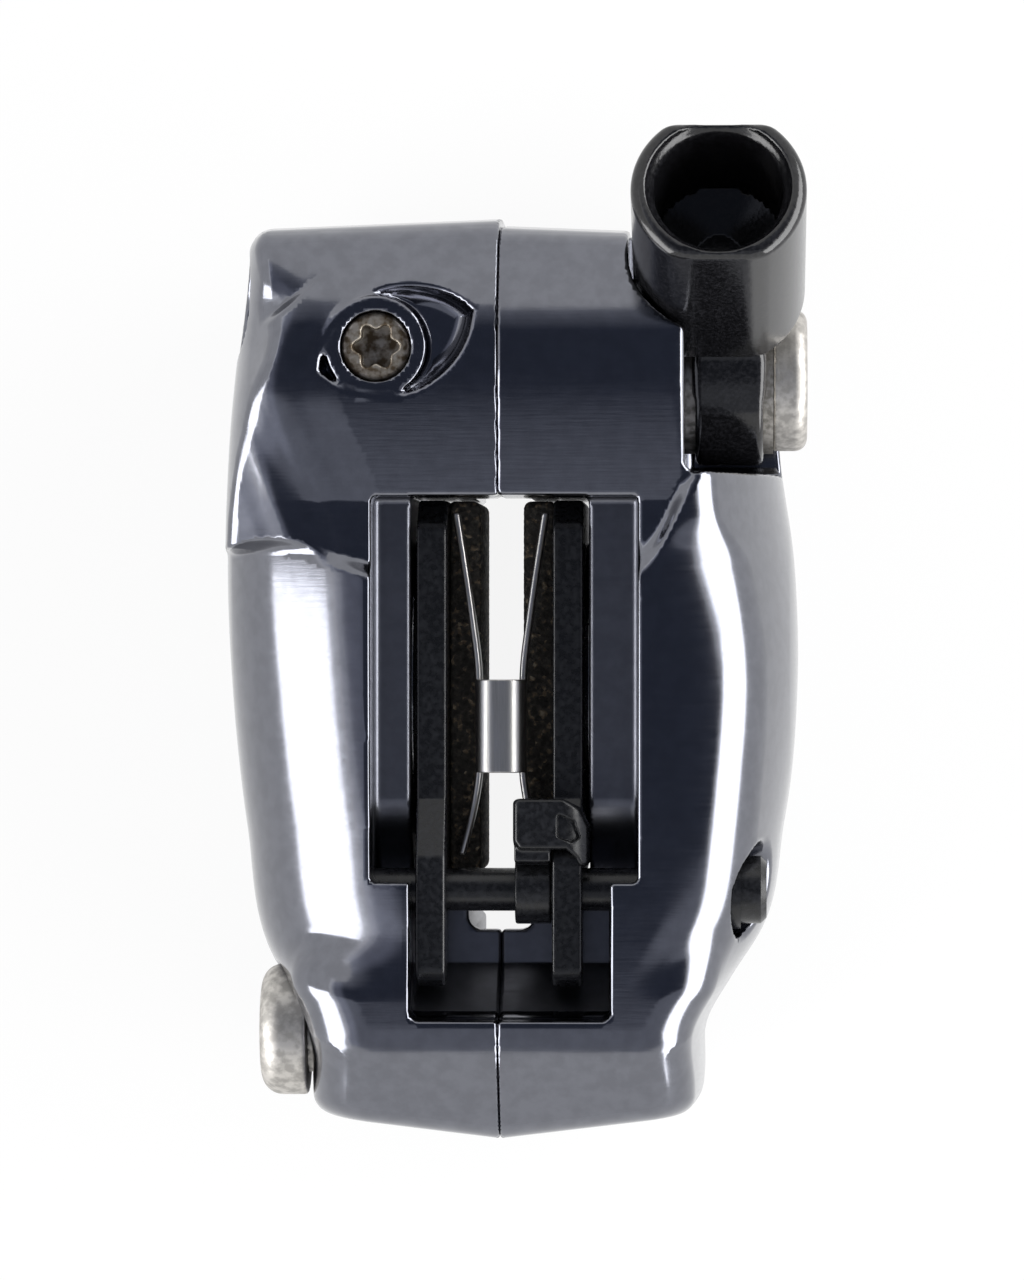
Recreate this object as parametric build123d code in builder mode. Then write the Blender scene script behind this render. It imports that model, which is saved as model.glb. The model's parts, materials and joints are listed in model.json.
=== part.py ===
from build123d import *
import os
from math import cos, radians, sin, sqrt

# Two-piece hydraulic disc brake caliper for a road bicycle.
# The pieces are drawn about the rotor: X runs across the rotor and X = 0 is its middle plane,
# Y runs along the pads and Y = 0 is the pistons' axis, and Z rises from the face that sits on
# the frame. Each piece is written with the origin moved to the middle of the two frame bolts.
# The outer half carries the hose fitting and the frame bolts, and lies on the +X side.

INNER = -1
OUTER = 1
SIDE_NAMES = {INNER: "inner", OUTER: "outer"}

# Clearances
running_gap = 0.05
thread_gap = 0.03
seat_gap = 0.05
free_gap = 0.3

# Body halves
body_top = 32.8
body_bottom = 31.6
body_depth = 30.6
top_slope_start = 25.4
top_slope_drop = 4.2
bottom_slope_start = 25.6
bottom_slope_drop = 4.4
inner_reach = 19.9
outer_reach = 21.2
back_tuck = 2.8
back_tuck_z = 9.0
dome_round_inner = 6.9
dome_round_outer = 5.6
block_round = 2.6
waist_round = 4.0
back_corner = 5.0
parting_step = 0.5
end_corner = 1.1

# Neck between the bridge and the bulge of each half
neck_slant = 52.0
neck_low_y_inner = 9.6
neck_high_y_inner = 27.2
neck_low_y_outer = 11.8

# Frame bolts in the back face of the outer half
frame_bolt_x = 14.0
frame_bolt_spacing = 34.0
frame_bolt_hole_r = 2.1
frame_bolt_depth = 8.5

# Rotor slot
rotor_r = 70.0
rotor_edge_z = 20.6
rotor_slot_width = 3.8
rotor_rim_room = 1.4

# Pistons
piston_r = 10.5
piston_length = 10.0
piston_wall = 2.0
piston_z = 13.2
bore_floor_room = 0.9
insert_step = 1.2
insert_depth = 4.0
insert_rim = 3.0
seal_width = 2.1
seal_section = 1.8
seal_from_mouth = 3.4

# Pads
rotor_gap = 3.0
lining_thickness = 2.2
plate_thickness = 2.1
pad_length = 26.4
pad_low_z = 3.4
pad_shoulder_z = 22.6
pad_tab_z = 27.4
tab_past_pin = 6.8
tab_neck_y = -10.5
lining_length = 26.0
lining_corner = 1.4
lining_chamfer = 0.7
lining_below_rim = 0.4
lining_margin = 1.0
pad_corner = 3.0

# Pad window and ledges
window_half_inner = 8.8
window_half_outer = 9.7
ledge_z = 24.9
ledge_end_y = -8.2
ledge_curve_r = 4.0
tab_window_inner = 6.1
tab_window_outer = 7.8
tab_window_y = -22.9
ramp_low_z = 21.8
ramp_rise = 5.2
ramp_length = 3.7
floor_gap_half = 2.3
floor_gap_end_y = -16.9

# Pad pin
pin_r = 1.5
pin_y = -14.0
pin_z = 24.6
pin_end_x = -10.6
pin_head_r = 2.75
pin_head_sink = 5.6
pin_head_length = 3.0
pin_recess_r = 3.3
pin_socket_width = 2.5
pin_socket_depth = 1.8

# Body bolts
body_bolt_r = 3.0
body_bolt_sink = 10.0
body_bolt_ys = (27.2, -24.0)
body_bolt_seats = (-13.3, -13.6)
body_bolt_head_r = 4.6
body_bolt_head_length = 3.3
body_bolt_reach = 8.3
body_bolt_socket_width = 5.0
body_bolt_socket_depth = 2.2

# Hose fitting
banjo_y = 21.8
banjo_sink = 13.6
banjo_seat_sink = 8.3
banjo_washer = 0.7
banjo_washer_width = 2.2
banjo_eye_width = 4.8
banjo_eye_r = 6.0
banjo_bolt_r = 3.0
banjo_bolt_length = 8.3
banjo_head_r = 5.0
banjo_head_length = 2.4
banjo_socket_width = 4.0
banjo_socket_depth = 1.7
tube_sink = 5.9
tube_r = 6.0
tube_flat = 4.95
tube_tilt = 23.0
tube_mouth_y = 34.3
tube_mouth_rise = 20.0
tube_length = 16.4
tube_wall_cone = 0.5
hose_thread_r = 4.4
hose_thread_length = 8.6
hose_cone_r = 1.5
hose_cone_length = 1.5

# Bleed port
bleed_x = -8.4
bleed_y = 23.7
bleed_boss_r = 3.5
bleed_boss_sink = 0.5
bleed_bowl_r = 4.65
bleed_bowl_sink = 2.7
bleed_bowl_shift_x = 1.3
bleed_bowl_shift_y = 0.8
bleed_hole_sink = 6.2
bleed_head_r = 2.4
bleed_head_sink = 0.9
bleed_shank_r = 1.9
bleed_seat_sink = 3.0
star_r = 1.5
star_depth = 1.5

# Fluid passages
passage_r = 1.0
transfer_y = 20.2
transfer_sink = 5.2
passage_turn_x = 7.0
transfer_seal_r = 2.6
transfer_seal_section = 0.9
transfer_seal_depth = 0.8

# Pad spring and clip
spring_sheet = 0.35
spring_bridge_half = 1.55
spring_bridge_low_y = -6.0
spring_bridge_high_y = 0.5
spring_leaf_z = 21.0
spring_top_z = 25.6
spring_leaf_height = 2.4
spring_upper_y = 12.3
spring_lower_y = -11.6
clip_thickness = 0.8

# Places that follow from the sizes above
body_bolt_z = body_depth - body_bolt_sink
banjo_z = body_depth - banjo_sink
tube_mouth_z = banjo_z + tube_mouth_rise
banjo_seat_x = outer_reach - banjo_seat_sink
banjo_bolt_end_x = banjo_seat_x - banjo_bolt_length
tube_x = outer_reach - tube_sink
pin_head_x = outer_reach - pin_head_sink
bleed_boss_z = body_depth - bleed_boss_sink
bleed_bowl_z = body_depth - bleed_bowl_sink
bleed_hole_z = body_depth - bleed_hole_sink
bleed_head_z = body_depth - bleed_head_sink
bleed_seat_z = body_depth - bleed_seat_sink
transfer_z = body_depth - transfer_sink
tab_reach = tab_past_pin - pin_y
bore_mouth_x = rotor_gap / 2 + lining_thickness + plate_thickness + 0.4
plate_inner_x = rotor_gap / 2 + lining_thickness
plate_outer_x = plate_inner_x + plate_thickness
piston_face_x = plate_outer_x + seat_gap
piston_end_x = piston_face_x + piston_length
bore_floor_x = piston_end_x + bore_floor_room
bore_r = piston_r + running_gap
seal_groove_r = piston_r + seal_section + running_gap
slot_top_z = rotor_edge_z + rotor_rim_room
pad_gap_y = free_gap / 2
eye_near_x = banjo_seat_x + banjo_washer
eye_far_x = eye_near_x + banjo_eye_width
banjo_head_x = eye_far_x + banjo_washer
banjo_floor_z = banjo_z - banjo_eye_r - 0.4


def side_plane(x=0.0):
    """A plane across the rotor at x, with its own X along +Y and its own Y along +Z."""
    return Plane(origin=(x, 0, 0), x_dir=(0, 1, 0), z_dir=(1, 0, 0))


def section_plane(y=0.0):
    """A plane at y that cuts the body across, with its own X along +X and its own Y along +Z."""
    return Plane(origin=(0, y, 0), x_dir=(1, 0, 0), z_dir=(0, -1, 0))


def cross_rod(x_start, x_end, y, z, radius):
    """A round rod along X."""
    low = min(x_start, x_end)
    with BuildPart() as rod:
        with BuildSketch(side_plane(low)):
            with Locations((y, z)):
                Circle(radius)
        extrude(amount=abs(x_end - x_start))
    return rod.part


def drilling(start, end, radius):
    """A straight drilled passage between two points."""
    way = Vector(*end) - Vector(*start)
    with BuildPart() as hole:
        with BuildSketch(Plane(origin=start, z_dir=way)):
            Circle(radius)
        extrude(amount=way.length)
    return hole.part


def reach_stations(side):
    """Places along the body, from top to bottom: Y, half width there and the front's rounding."""
    if side == INNER:
        dome = dome_round_inner
        return [
            (body_top + 0.8, inner_reach - 2.0, block_round),
            (28.0, inner_reach - 1.5, block_round),
            (22.0, inner_reach - 0.8, dome * 0.7),
            (16.5, inner_reach - 0.3, dome),
            (8.5, inner_reach, dome),
            (-0.8, inner_reach - 0.6, dome),
            (-9.7, inner_reach - 1.6, dome),
            (-16.0, inner_reach - 2.6, dome * 0.85),
            (-18.7, inner_reach - 3.5, dome * 0.7),
            (-21.5, inner_reach - 5.0, dome * 0.55),
            (-24.5, inner_reach - 6.0, waist_round),
            (-body_bottom - 0.8, inner_reach - 6.5, waist_round),
        ]
    dome = dome_round_outer
    return [
        (body_top + 0.8, outer_reach - 2.8, block_round),
        (28.0, outer_reach - 2.2, block_round),
        (21.0, outer_reach - 1.8, dome * 0.7),
        (15.8, outer_reach - 1.5, dome),
        (8.5, outer_reach - 0.4, dome),
        (2.5, outer_reach, dome),
        (-2.5, outer_reach - 0.3, dome),
        (-9.7, outer_reach - 1.3, dome),
        (-15.5, outer_reach - 2.6, dome * 0.85),
        (-20.5, outer_reach - 5.0, dome * 0.6),
        (-24.0, outer_reach - 6.8, waist_round),
        (-body_bottom - 0.8, outer_reach - 7.4, waist_round),
    ]


def body_section(side, y, reach, rounding):
    """One half cut across: level front, rounded corner, and a flank that draws in at the back."""
    widest = inner_reach if side == INNER else outer_reach
    foot = min(reach - 0.3, widest - back_tuck)
    with BuildSketch(section_plane(y)) as section:
        with BuildLine():
            Line((-side, -1), (-side, body_depth))
            Line((-side, body_depth), (side * (reach - rounding), body_depth))
            ThreePointArc(
                (side * (reach - rounding), body_depth),
                (side * (reach - rounding * (1 - sqrt(0.5))), body_depth - rounding * (1 - sqrt(0.5))),
                (side * reach, body_depth - rounding),
            )
            Line((side * reach, body_depth - rounding), (side * reach, back_tuck_z))
            Line((side * reach, back_tuck_z), (side * foot, -1))
            Line((side * foot, -1), (-side, -1))
        make_face()
    return section.sketch


def end_outline(side):
    """Front outline of the two ends of one half, with a pointed bottom and cut corners."""
    if side == INNER:
        top, corner_u, low_u = body_top, inner_reach - 2.2, inner_reach - 6.4
    else:
        top, corner_u, low_u = body_top - parting_step, outer_reach - 2.9, outer_reach - 7.2
    wide = side * (outer_reach + 3)
    corner_run = outer_reach + 3 - corner_u + end_corner
    low_run = outer_reach + 3 - low_u + end_corner
    top_edge = top - 0.03 * corner_u
    low_edge = -body_bottom + 0.13 * low_u
    with BuildSketch() as outline:
        with BuildLine():
            Polyline(
                (0, top),
                (side * (corner_u - end_corner), top_edge),
                (wide, top_edge - corner_run),
                (wide, low_edge + low_run),
                (side * (low_u - end_corner), low_edge),
                (0, -body_bottom),
                close=True,
            )
        make_face()
    return outline.sketch


def side_profile():
    """The body seen across the rotor: crowned front, sloped ends and a flat back."""
    end_z = body_depth - top_slope_drop
    low_end_z = body_depth - 1.2 - bottom_slope_drop
    with BuildSketch(side_plane()) as profile:
        with BuildLine():
            Polyline(
                (top_slope_start, body_depth - 0.4),
                (body_top + 0.2, end_z),
                (body_top + 0.2, back_corner),
                (body_top - back_corner, 0),
                (-body_bottom + back_corner, 0),
                (-body_bottom - 0.2, back_corner),
                (-body_bottom - 0.2, low_end_z),
                (-bottom_slope_start, body_depth - 1.2),
            )
            ThreePointArc(
                (-bottom_slope_start, body_depth - 1.2),
                (0, body_depth - 0.1),
                (top_slope_start, body_depth - 0.4),
            )
        make_face()
        ends = profile.vertices().group_by(Axis.Y)
        fillet(ends[0] + ends[-1], 2.0)
    return profile.sketch


def neck_cut(side):
    """The slanted valley between the bridge and the bulge: its ridge runs out at both ends."""
    reach = inner_reach if side == INNER else outer_reach
    if side == INNER:
        low = neck_low_y_inner
        ridges = [(low - 1.4, 17.0), (low + 0.8, 12.0), (14.4, 13.6), (20.0, 15.0), (23.4, 14.4)]
        ridges += [(neck_high_y_inner - 0.8, 13.2), (body_top - 0.6, reach - 1.0)]
    else:
        low = neck_low_y_outer
        ridges = [(low - 1.6, 17.4), (low + 0.8, 13.2), (banjo_y, 13.2)]
    slope = sin(radians(neck_slant)) / cos(radians(neck_slant))
    above = 2.0
    far = reach + 2
    with BuildPart() as valley:
        for y, ridge in ridges:
            with BuildSketch(section_plane(y)):
                with BuildLine():
                    Polyline(
                        (side * (ridge - above / slope), body_depth + above),
                        (side * far, body_depth - (far - ridge) * slope),
                        (side * (far + 1), body_depth + above),
                        close=True,
                    )
                make_face()
        loft(ruled=True)
    return valley.part


def raw_half(side):
    """The outer form of one half: rounded sections along its length, trimmed by its outlines."""
    with BuildPart() as half:
        for y, reach, rounding in reach_stations(side):
            add(body_section(side, y, reach, rounding))
        loft(ruled=True)
        add(end_outline(side))
        extrude(amount=body_depth + 2, dir=(0, 0, 1), mode=Mode.INTERSECT)
        add(side_profile())
        extrude(amount=body_top, dir=(side, 0, 0), mode=Mode.INTERSECT)
        add(neck_cut(side), mode=Mode.SUBTRACT)
    return half.part


def slot_cut(side):
    """Half of the rotor slot, rounded about the rotor's axle."""
    slot_r = rotor_r + rotor_rim_room
    with BuildPart() as slot:
        with BuildSketch(side_plane()):
            with Locations((0, slot_top_z - slot_r)):
                Circle(slot_r)
        extrude(amount=side * rotor_slot_width / 2)
    return slot.part


def pad_pocket(side):
    """The through pocket of the pads, the wider window above the ledge and the tab window."""
    window_half = window_half_inner if side == INNER else window_half_outer
    tab_half = tab_window_inner if side == INNER else tab_window_outer
    half_length = pad_length / 2 + pad_gap_y
    above = body_depth + 2
    with BuildPart() as pocket:
        with BuildSketch(side_plane()):
            with Locations((0, body_depth / 2)):
                Rectangle(2 * half_length, body_depth + 6)
        extrude(amount=side * bore_mouth_x)
        with BuildSketch(side_plane()):
            with BuildLine():
                Line((half_length, above), (half_length, ledge_z))
                Line((half_length, ledge_z), (ledge_end_y, ledge_z))
                Line((ledge_end_y, ledge_z), (ledge_end_y, ledge_z - 1.0))
                Line((ledge_end_y, ledge_z - 1.0), (-half_length, ledge_z - ledge_curve_r))
                Line((-half_length, ledge_z - ledge_curve_r), (-half_length, above))
                Line((-half_length, above), (half_length, above))
            make_face()
        extrude(amount=side * window_half)
        with BuildSketch(side_plane()):
            with BuildLine():
                Polyline(
                    (-half_length + 0.1, ramp_low_z),
                    (tab_window_y + ramp_length, ramp_low_z),
                    (tab_window_y, ramp_low_z + ramp_rise),
                    (tab_window_y, above),
                    (-half_length + 0.1, above),
                    close=True,
                )
            make_face()
        extrude(amount=side * tab_half)
        with BuildSketch(side_plane()):
            with Locations(((floor_gap_end_y - half_length + 0.2) / 2, slot_top_z)):
                Rectangle(-floor_gap_end_y - half_length + 0.2, 2 * rotor_rim_room + 4)
        extrude(amount=side * floor_gap_half)
    return pocket.part


def piston_bore(side):
    """The blind bore with its seal groove."""
    groove_near = bore_mouth_x + seal_from_mouth
    bore = cross_rod(side * (bore_mouth_x - 1), side * bore_floor_x, 0, piston_z, bore_r)
    groove = cross_rod(
        side * groove_near, side * (groove_near + seal_width + 2 * seat_gap), 0, piston_z, seal_groove_r
    )
    return bore + groove


def pin_hole(side):
    """The cross hole of the pad pin, with the recess for its head in the outer half."""
    if side == INNER:
        return cross_rod(0, pin_end_x - thread_gap, pin_y, pin_z, pin_r + thread_gap)
    hole = cross_rod(0, pin_head_x + 1, pin_y, pin_z, pin_r + thread_gap)
    recess = cross_rod(pin_head_x, outer_reach + 4, pin_y, pin_z, pin_recess_r)
    return hole + recess


def body_bolt_holes(side):
    """Clearance holes and head seats in the inner half, blind thread holes in the outer half."""
    cut = None
    for y, seat_x in zip(body_bolt_ys, body_bolt_seats):
        if side == OUTER:
            hole = cross_rod(0, body_bolt_reach + free_gap, y, body_bolt_z, body_bolt_r + thread_gap)
        else:
            shank = cross_rod(0, seat_x, y, body_bolt_z, body_bolt_r + running_gap)
            seat = cross_rod(seat_x, -inner_reach - 4, y, body_bolt_z, body_bolt_head_r + 0.2)
            hole = shank + seat
        cut = hole if cut is None else cut + hole
    return cut


def banjo_seat_cut():
    """The pocket beside the hose fitting, and the round relief that its tube swings over."""
    shoulder_y = banjo_y - banjo_eye_r - free_gap - 0.7
    relief_r = banjo_tube_near() - free_gap
    with BuildPart() as cut:
        with BuildSketch(Plane.XY.offset(banjo_floor_z)) as shoulder:
            with Locations(((banjo_seat_x + outer_reach + 4) / 2, (shoulder_y + body_top + 4) / 2)):
                Rectangle(outer_reach + 4 - banjo_seat_x, body_top + 4 - shoulder_y)
            inner_corner = (banjo_seat_x, shoulder_y, banjo_floor_z)
            fillet(shoulder.vertices().sort_by_distance(inner_corner)[0], 0.6)
        extrude(amount=body_depth + 4)
        with BuildSketch(side_plane(tube_x - tube_r - free_gap)):
            with BuildLine():
                Polyline(*tube_relief_points(), close=True)
            make_face()
            with Locations((banjo_y, banjo_z)):
                Circle(relief_r, mode=Mode.SUBTRACT)
        extrude(amount=outer_reach)
    return cut.part


def banjo_tube_near():
    """Distance from the banjo bolt's axis to the rear face of the hose tube."""
    along = (tube_mouth_y - banjo_y) * sin(radians(tube_tilt))
    along += (tube_mouth_z - banjo_z) * cos(radians(tube_tilt))
    return along - tube_length


def tube_point(along, across):
    """A point (Y, Z) in the hose tube's middle plane: along its axis from the mouth, and across."""
    tilt = radians(tube_tilt)
    y = tube_mouth_y - along * sin(tilt) + across * cos(tilt)
    z = tube_mouth_z - along * cos(tilt) - across * sin(tilt)
    return (y, z)


def tube_relief_points():
    """Corners of the space that the hose tube sweeps, seen across the rotor."""
    under = -tube_flat - 0.4
    far = body_top + 12
    return [
        tube_point(tube_length + 3, under),
        tube_point(-6, under),
        (far, body_depth + 14),
        (far, banjo_floor_z),
        (banjo_y + banjo_eye_r + 1.4, banjo_floor_z),
        (banjo_y + banjo_eye_r + 1.4, banjo_z),
    ]


def fluid_passages(side):
    """Drilled ways from the hose fitting to both bores and to the bleed port."""
    if side == OUTER:
        corner = (passage_turn_x, transfer_y, transfer_z)
        under_bolt = (passage_turn_x, banjo_y - 1, banjo_z)
        beside_bore = (passage_turn_x + 1, banjo_y - 1, banjo_z)
        in_bore = (12.5, piston_r - 2, piston_z + 2)
        cross = cross_rod(0, passage_turn_x, transfer_y, transfer_z, passage_r)
        down = drilling(corner, under_bolt, passage_r)
        to_bore = drilling(beside_bore, in_bore, passage_r)
        return cross + down + to_bore
    corner = (bleed_x, transfer_y, transfer_z)
    in_bore = (-13.0, piston_r - 2, piston_z + 2)
    cross = cross_rod(0, bleed_x, transfer_y, transfer_z, passage_r)
    to_bore = drilling(corner, in_bore, passage_r)
    up = drilling(corner, (bleed_x, bleed_y, bleed_hole_z + 0.4), passage_r)
    return cross + to_bore + up


def upright_rod(x, y, z_low, z_high, radius):
    """A round rod along Z."""
    with BuildPart() as rod:
        with BuildSketch(Plane.XY.offset(z_low)):
            with Locations((x, y)):
                Circle(radius)
        extrude(amount=z_high - z_low)
    return rod.part


def make_inner_half():
    """The inner half: bleed port, bolt head seats and the transfer seal's groove."""
    with BuildPart() as half:
        add(raw_half(INNER))
        bowl_x = bleed_x + bleed_bowl_shift_x
        bowl_y = bleed_y + bleed_bowl_shift_y
        add(upright_rod(bowl_x, bowl_y, bleed_bowl_z, body_depth + 3, bleed_bowl_r), mode=Mode.SUBTRACT)
        add(upright_rod(bleed_x, bleed_y, bleed_bowl_z - 1, bleed_boss_z, bleed_boss_r))
        for cut in shared_cuts(INNER):
            add(cut, mode=Mode.SUBTRACT)
        add(bleed_hole(), mode=Mode.SUBTRACT)
        add(transfer_groove(), mode=Mode.SUBTRACT)
    return half.part


def bleed_hole():
    """The stepped hole of the bleed screw."""
    wide = upright_rod(bleed_x, bleed_y, bleed_seat_z, body_depth + 3, bleed_head_r + running_gap)
    narrow = upright_rod(bleed_x, bleed_y, bleed_hole_z, bleed_seat_z, bleed_shank_r + thread_gap)
    return wide + narrow


def transfer_groove():
    """The round recess in the parting face that holds the transfer seal."""
    return cross_rod(0, -transfer_seal_depth, transfer_y, transfer_z, transfer_seal_r + seat_gap)


def shared_cuts(side):
    """What is cut from both halves."""
    return [
        slot_cut(side),
        pad_pocket(side),
        piston_bore(side),
        pin_hole(side),
        body_bolt_holes(side),
        fluid_passages(side),
    ]


def make_outer_half():
    """The outer half: banjo seat, frame bolt holes and the pin head's recess."""
    with BuildPart() as half:
        add(raw_half(OUTER))
        add(banjo_seat_cut(), mode=Mode.SUBTRACT)
        for cut in shared_cuts(OUTER):
            add(cut, mode=Mode.SUBTRACT)
        hole_end_x = banjo_bolt_end_x - 0.6
        hole_r = banjo_bolt_r + thread_gap
        add(cross_rod(hole_end_x, banjo_seat_x + 1, banjo_y, banjo_z, hole_r), mode=Mode.SUBTRACT)
        for y in (-frame_bolt_spacing / 2, frame_bolt_spacing / 2):
            hole = upright_rod(frame_bolt_x, y, -1, frame_bolt_depth, frame_bolt_hole_r)
            add(hole, mode=Mode.SUBTRACT)
    return half.part


def make_piston(side):
    """A turned cup that opens towards the pad."""
    with BuildPart() as piston:
        with BuildSketch(Plane.XY) as cup:
            with BuildLine():
                Polyline(
                    (piston_face_x, piston_r - piston_wall),
                    (piston_face_x, piston_r - 0.3),
                    (piston_face_x + 0.3, piston_r),
                    (piston_end_x - 0.6, piston_r),
                    (piston_end_x, piston_r - 0.6),
                    (piston_end_x, 0),
                    (piston_end_x - piston_wall, 0),
                    (piston_end_x - piston_wall, piston_r - piston_wall),
                    close=True,
                )
            make_face()
        revolve(axis=Axis.X)
    turned = piston.part
    if side == INNER:
        turned = turned.mirror(Plane.YZ)
    return turned.moved(Location((0, 0, piston_z)))


def make_insert(side):
    """The heat-insulating cap in the piston's mouth, with a ring that meets the pad."""
    cap_r = piston_r - piston_wall - running_gap
    with BuildPart() as insert:
        with BuildSketch(Plane.XY):
            with BuildLine():
                Polyline(
                    (piston_face_x, cap_r - insert_rim),
                    (piston_face_x, cap_r),
                    (piston_face_x + insert_depth, cap_r),
                    (piston_face_x + insert_depth, 0),
                    (piston_face_x + insert_step, 0),
                    (piston_face_x + insert_step, cap_r - insert_rim - insert_step / 2),
                    close=True,
                )
            make_face()
        revolve(axis=Axis.X)
    turned = insert.part
    if side == INNER:
        turned = turned.mirror(Plane.YZ)
    return turned.moved(Location((0, 0, piston_z)))


def make_piston_seal(side):
    """A square-section ring in the bore's groove."""
    near = side * (bore_mouth_x + seal_from_mouth + seat_gap)
    far = near + side * seal_width
    ring = cross_rod(near, far, 0, piston_z, seal_groove_r - seat_gap)
    return ring - cross_rod(near, far, 0, piston_z, piston_r + 0.03)


def pad_face():
    """Side outline of a backing plate: a rounded block with a long tab for the pin."""
    half = pad_length / 2
    with BuildSketch(side_plane()) as face:
        with BuildLine():
            Line((half, pad_shoulder_z), (half, pad_low_z + pad_corner))
            ThreePointArc(
                (half, pad_low_z + pad_corner),
                (half - pad_corner * 0.3, pad_low_z + pad_corner * 0.3),
                (half - pad_corner, pad_low_z),
            )
            ThreePointArc(
                (half - pad_corner, pad_low_z),
                (0, pad_low_z - 0.9),
                (-half + pad_corner, pad_low_z),
            )
            ThreePointArc(
                (-half + pad_corner, pad_low_z),
                (-half + pad_corner * 0.3, pad_low_z + pad_corner * 0.3),
                (-half, pad_low_z + pad_corner),
            )
            Line((-half, pad_low_z + pad_corner), (-half, pad_shoulder_z))
            Line((-half, pad_shoulder_z), (-tab_reach + 2.0, pad_shoulder_z + 0.9))
            ThreePointArc(
                (-tab_reach + 2.0, pad_shoulder_z + 0.9),
                (-tab_reach, pad_shoulder_z + 2.9),
                (-tab_reach + 2.0, pad_tab_z),
            )
            Line((-tab_reach + 2.0, pad_tab_z), (tab_neck_y - 1.0, pad_tab_z))
            Line((tab_neck_y - 1.0, pad_tab_z), (tab_neck_y + 3.0, pad_tab_z - 2.2))
            Line((tab_neck_y + 3.0, pad_tab_z - 2.2), (half - 2.0, pad_tab_z - 2.2))
            Line((half - 2.0, pad_tab_z - 2.2), (half, pad_shoulder_z))
        make_face()
        with Locations((pin_y, pin_z)):
            Circle(pin_r + 0.1, mode=Mode.SUBTRACT)
    return face.sketch


def make_plate(side):
    """A stamped steel backing plate."""
    with BuildPart() as plate:
        add(pad_face().moved(Location((side * plate_inner_x, 0, 0))))
        extrude(amount=plate_thickness, dir=(side, 0, 0))
    return plate.part


def make_lining(side):
    """The friction block, curved along the rotor's rim and grooved across its middle."""
    low = pad_low_z + lining_margin
    high = rotor_edge_z - lining_below_rim
    with BuildPart() as lining:
        with BuildSketch(side_plane(side * rotor_gap / 2)) as block:
            with Locations((0, (low + high) / 2)):
                RectangleRounded(lining_length, high - low, lining_corner)
        extrude(amount=side * lining_thickness)
        rim = lining.faces().sort_by(Axis.X)[0 if side == OUTER else -1]
        chamfer(rim.edges().filter_by(Axis.Z), lining_chamfer)
    return lining.part


def leaf_outline(side):
    """The spring leaf seen from the front: a straight fold at the bridge, then splayed arms."""
    bend = side * spring_bridge_half
    end = side * (plate_inner_x - spring_sheet - 0.1)
    with BuildSketch(Plane.XY.offset(spring_leaf_z)) as leaf:
        with BuildLine() as path:
            Polyline(
                (end, spring_upper_y),
                (bend, spring_bridge_high_y),
                (bend, spring_bridge_low_y),
                (end, spring_lower_y),
            )
        trace(path.line, line_width=spring_sheet)
    return leaf.sketch


def make_spring():
    """The stainless pad spring: two leaves joined by an arched bridge."""
    middle_y = (spring_bridge_low_y + spring_bridge_high_y) / 2
    length = spring_bridge_high_y - spring_bridge_low_y
    half = spring_bridge_half + spring_sheet / 2
    top = spring_top_z
    with BuildPart() as spring:
        for side in (INNER, OUTER):
            add(leaf_outline(side))
            extrude(amount=spring_leaf_height)
        with BuildSketch(section_plane(middle_y)) as arch:
            with BuildLine():
                Line((-half, spring_leaf_z + 1), (-half, top - 1.2))
                ThreePointArc((-half, top - 1.2), (0, top), (half, top - 1.2))
                Line((half, top - 1.2), (half, spring_leaf_z + 1))
                Line((half, spring_leaf_z + 1), (half - spring_sheet, spring_leaf_z + 1))
                Line((half - spring_sheet, spring_leaf_z + 1), (half - spring_sheet, top - 1.4))
                ThreePointArc(
                    (half - spring_sheet, top - 1.4),
                    (0, top - spring_sheet),
                    (-half + spring_sheet, top - 1.4),
                )
                Line((-half + spring_sheet, top - 1.4), (-half + spring_sheet, spring_leaf_z + 1))
                Line((-half + spring_sheet, spring_leaf_z + 1), (-half, spring_leaf_z + 1))
            make_face()
        extrude(amount=length / 2, both=True)
    return spring.part


def socket_sketch(width):
    """A hexagon socket, given across its flats."""
    return RegularPolygon(width / sqrt(3), 6)


def make_pin():
    """The pad pin, with a thread relief at its end and a socket head with a stepped rim."""
    head_end = pin_head_x + pin_head_length
    with BuildPart() as pin:
        with BuildSketch(Plane.XY):
            with BuildLine():
                Polyline(
                    (pin_end_x, 0),
                    (pin_end_x, pin_r - 0.4),
                    (pin_end_x + 0.4, pin_r),
                    (pin_head_x, pin_r),
                    (pin_head_x, pin_head_r),
                    (pin_head_x + 1.2, pin_head_r),
                    (pin_head_x + 1.2, pin_head_r - 0.4),
                    (head_end - 0.4, pin_head_r - 0.4),
                    (head_end, pin_head_r - 0.8),
                    (head_end, 0),
                    close=True,
                )
            make_face()
        revolve(axis=Axis.X)
        with BuildSketch(side_plane(head_end)):
            socket_sketch(pin_socket_width)
        extrude(amount=-pin_socket_depth, mode=Mode.SUBTRACT)
    return pin.part.moved(Location((0, pin_y, pin_z)))


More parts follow.
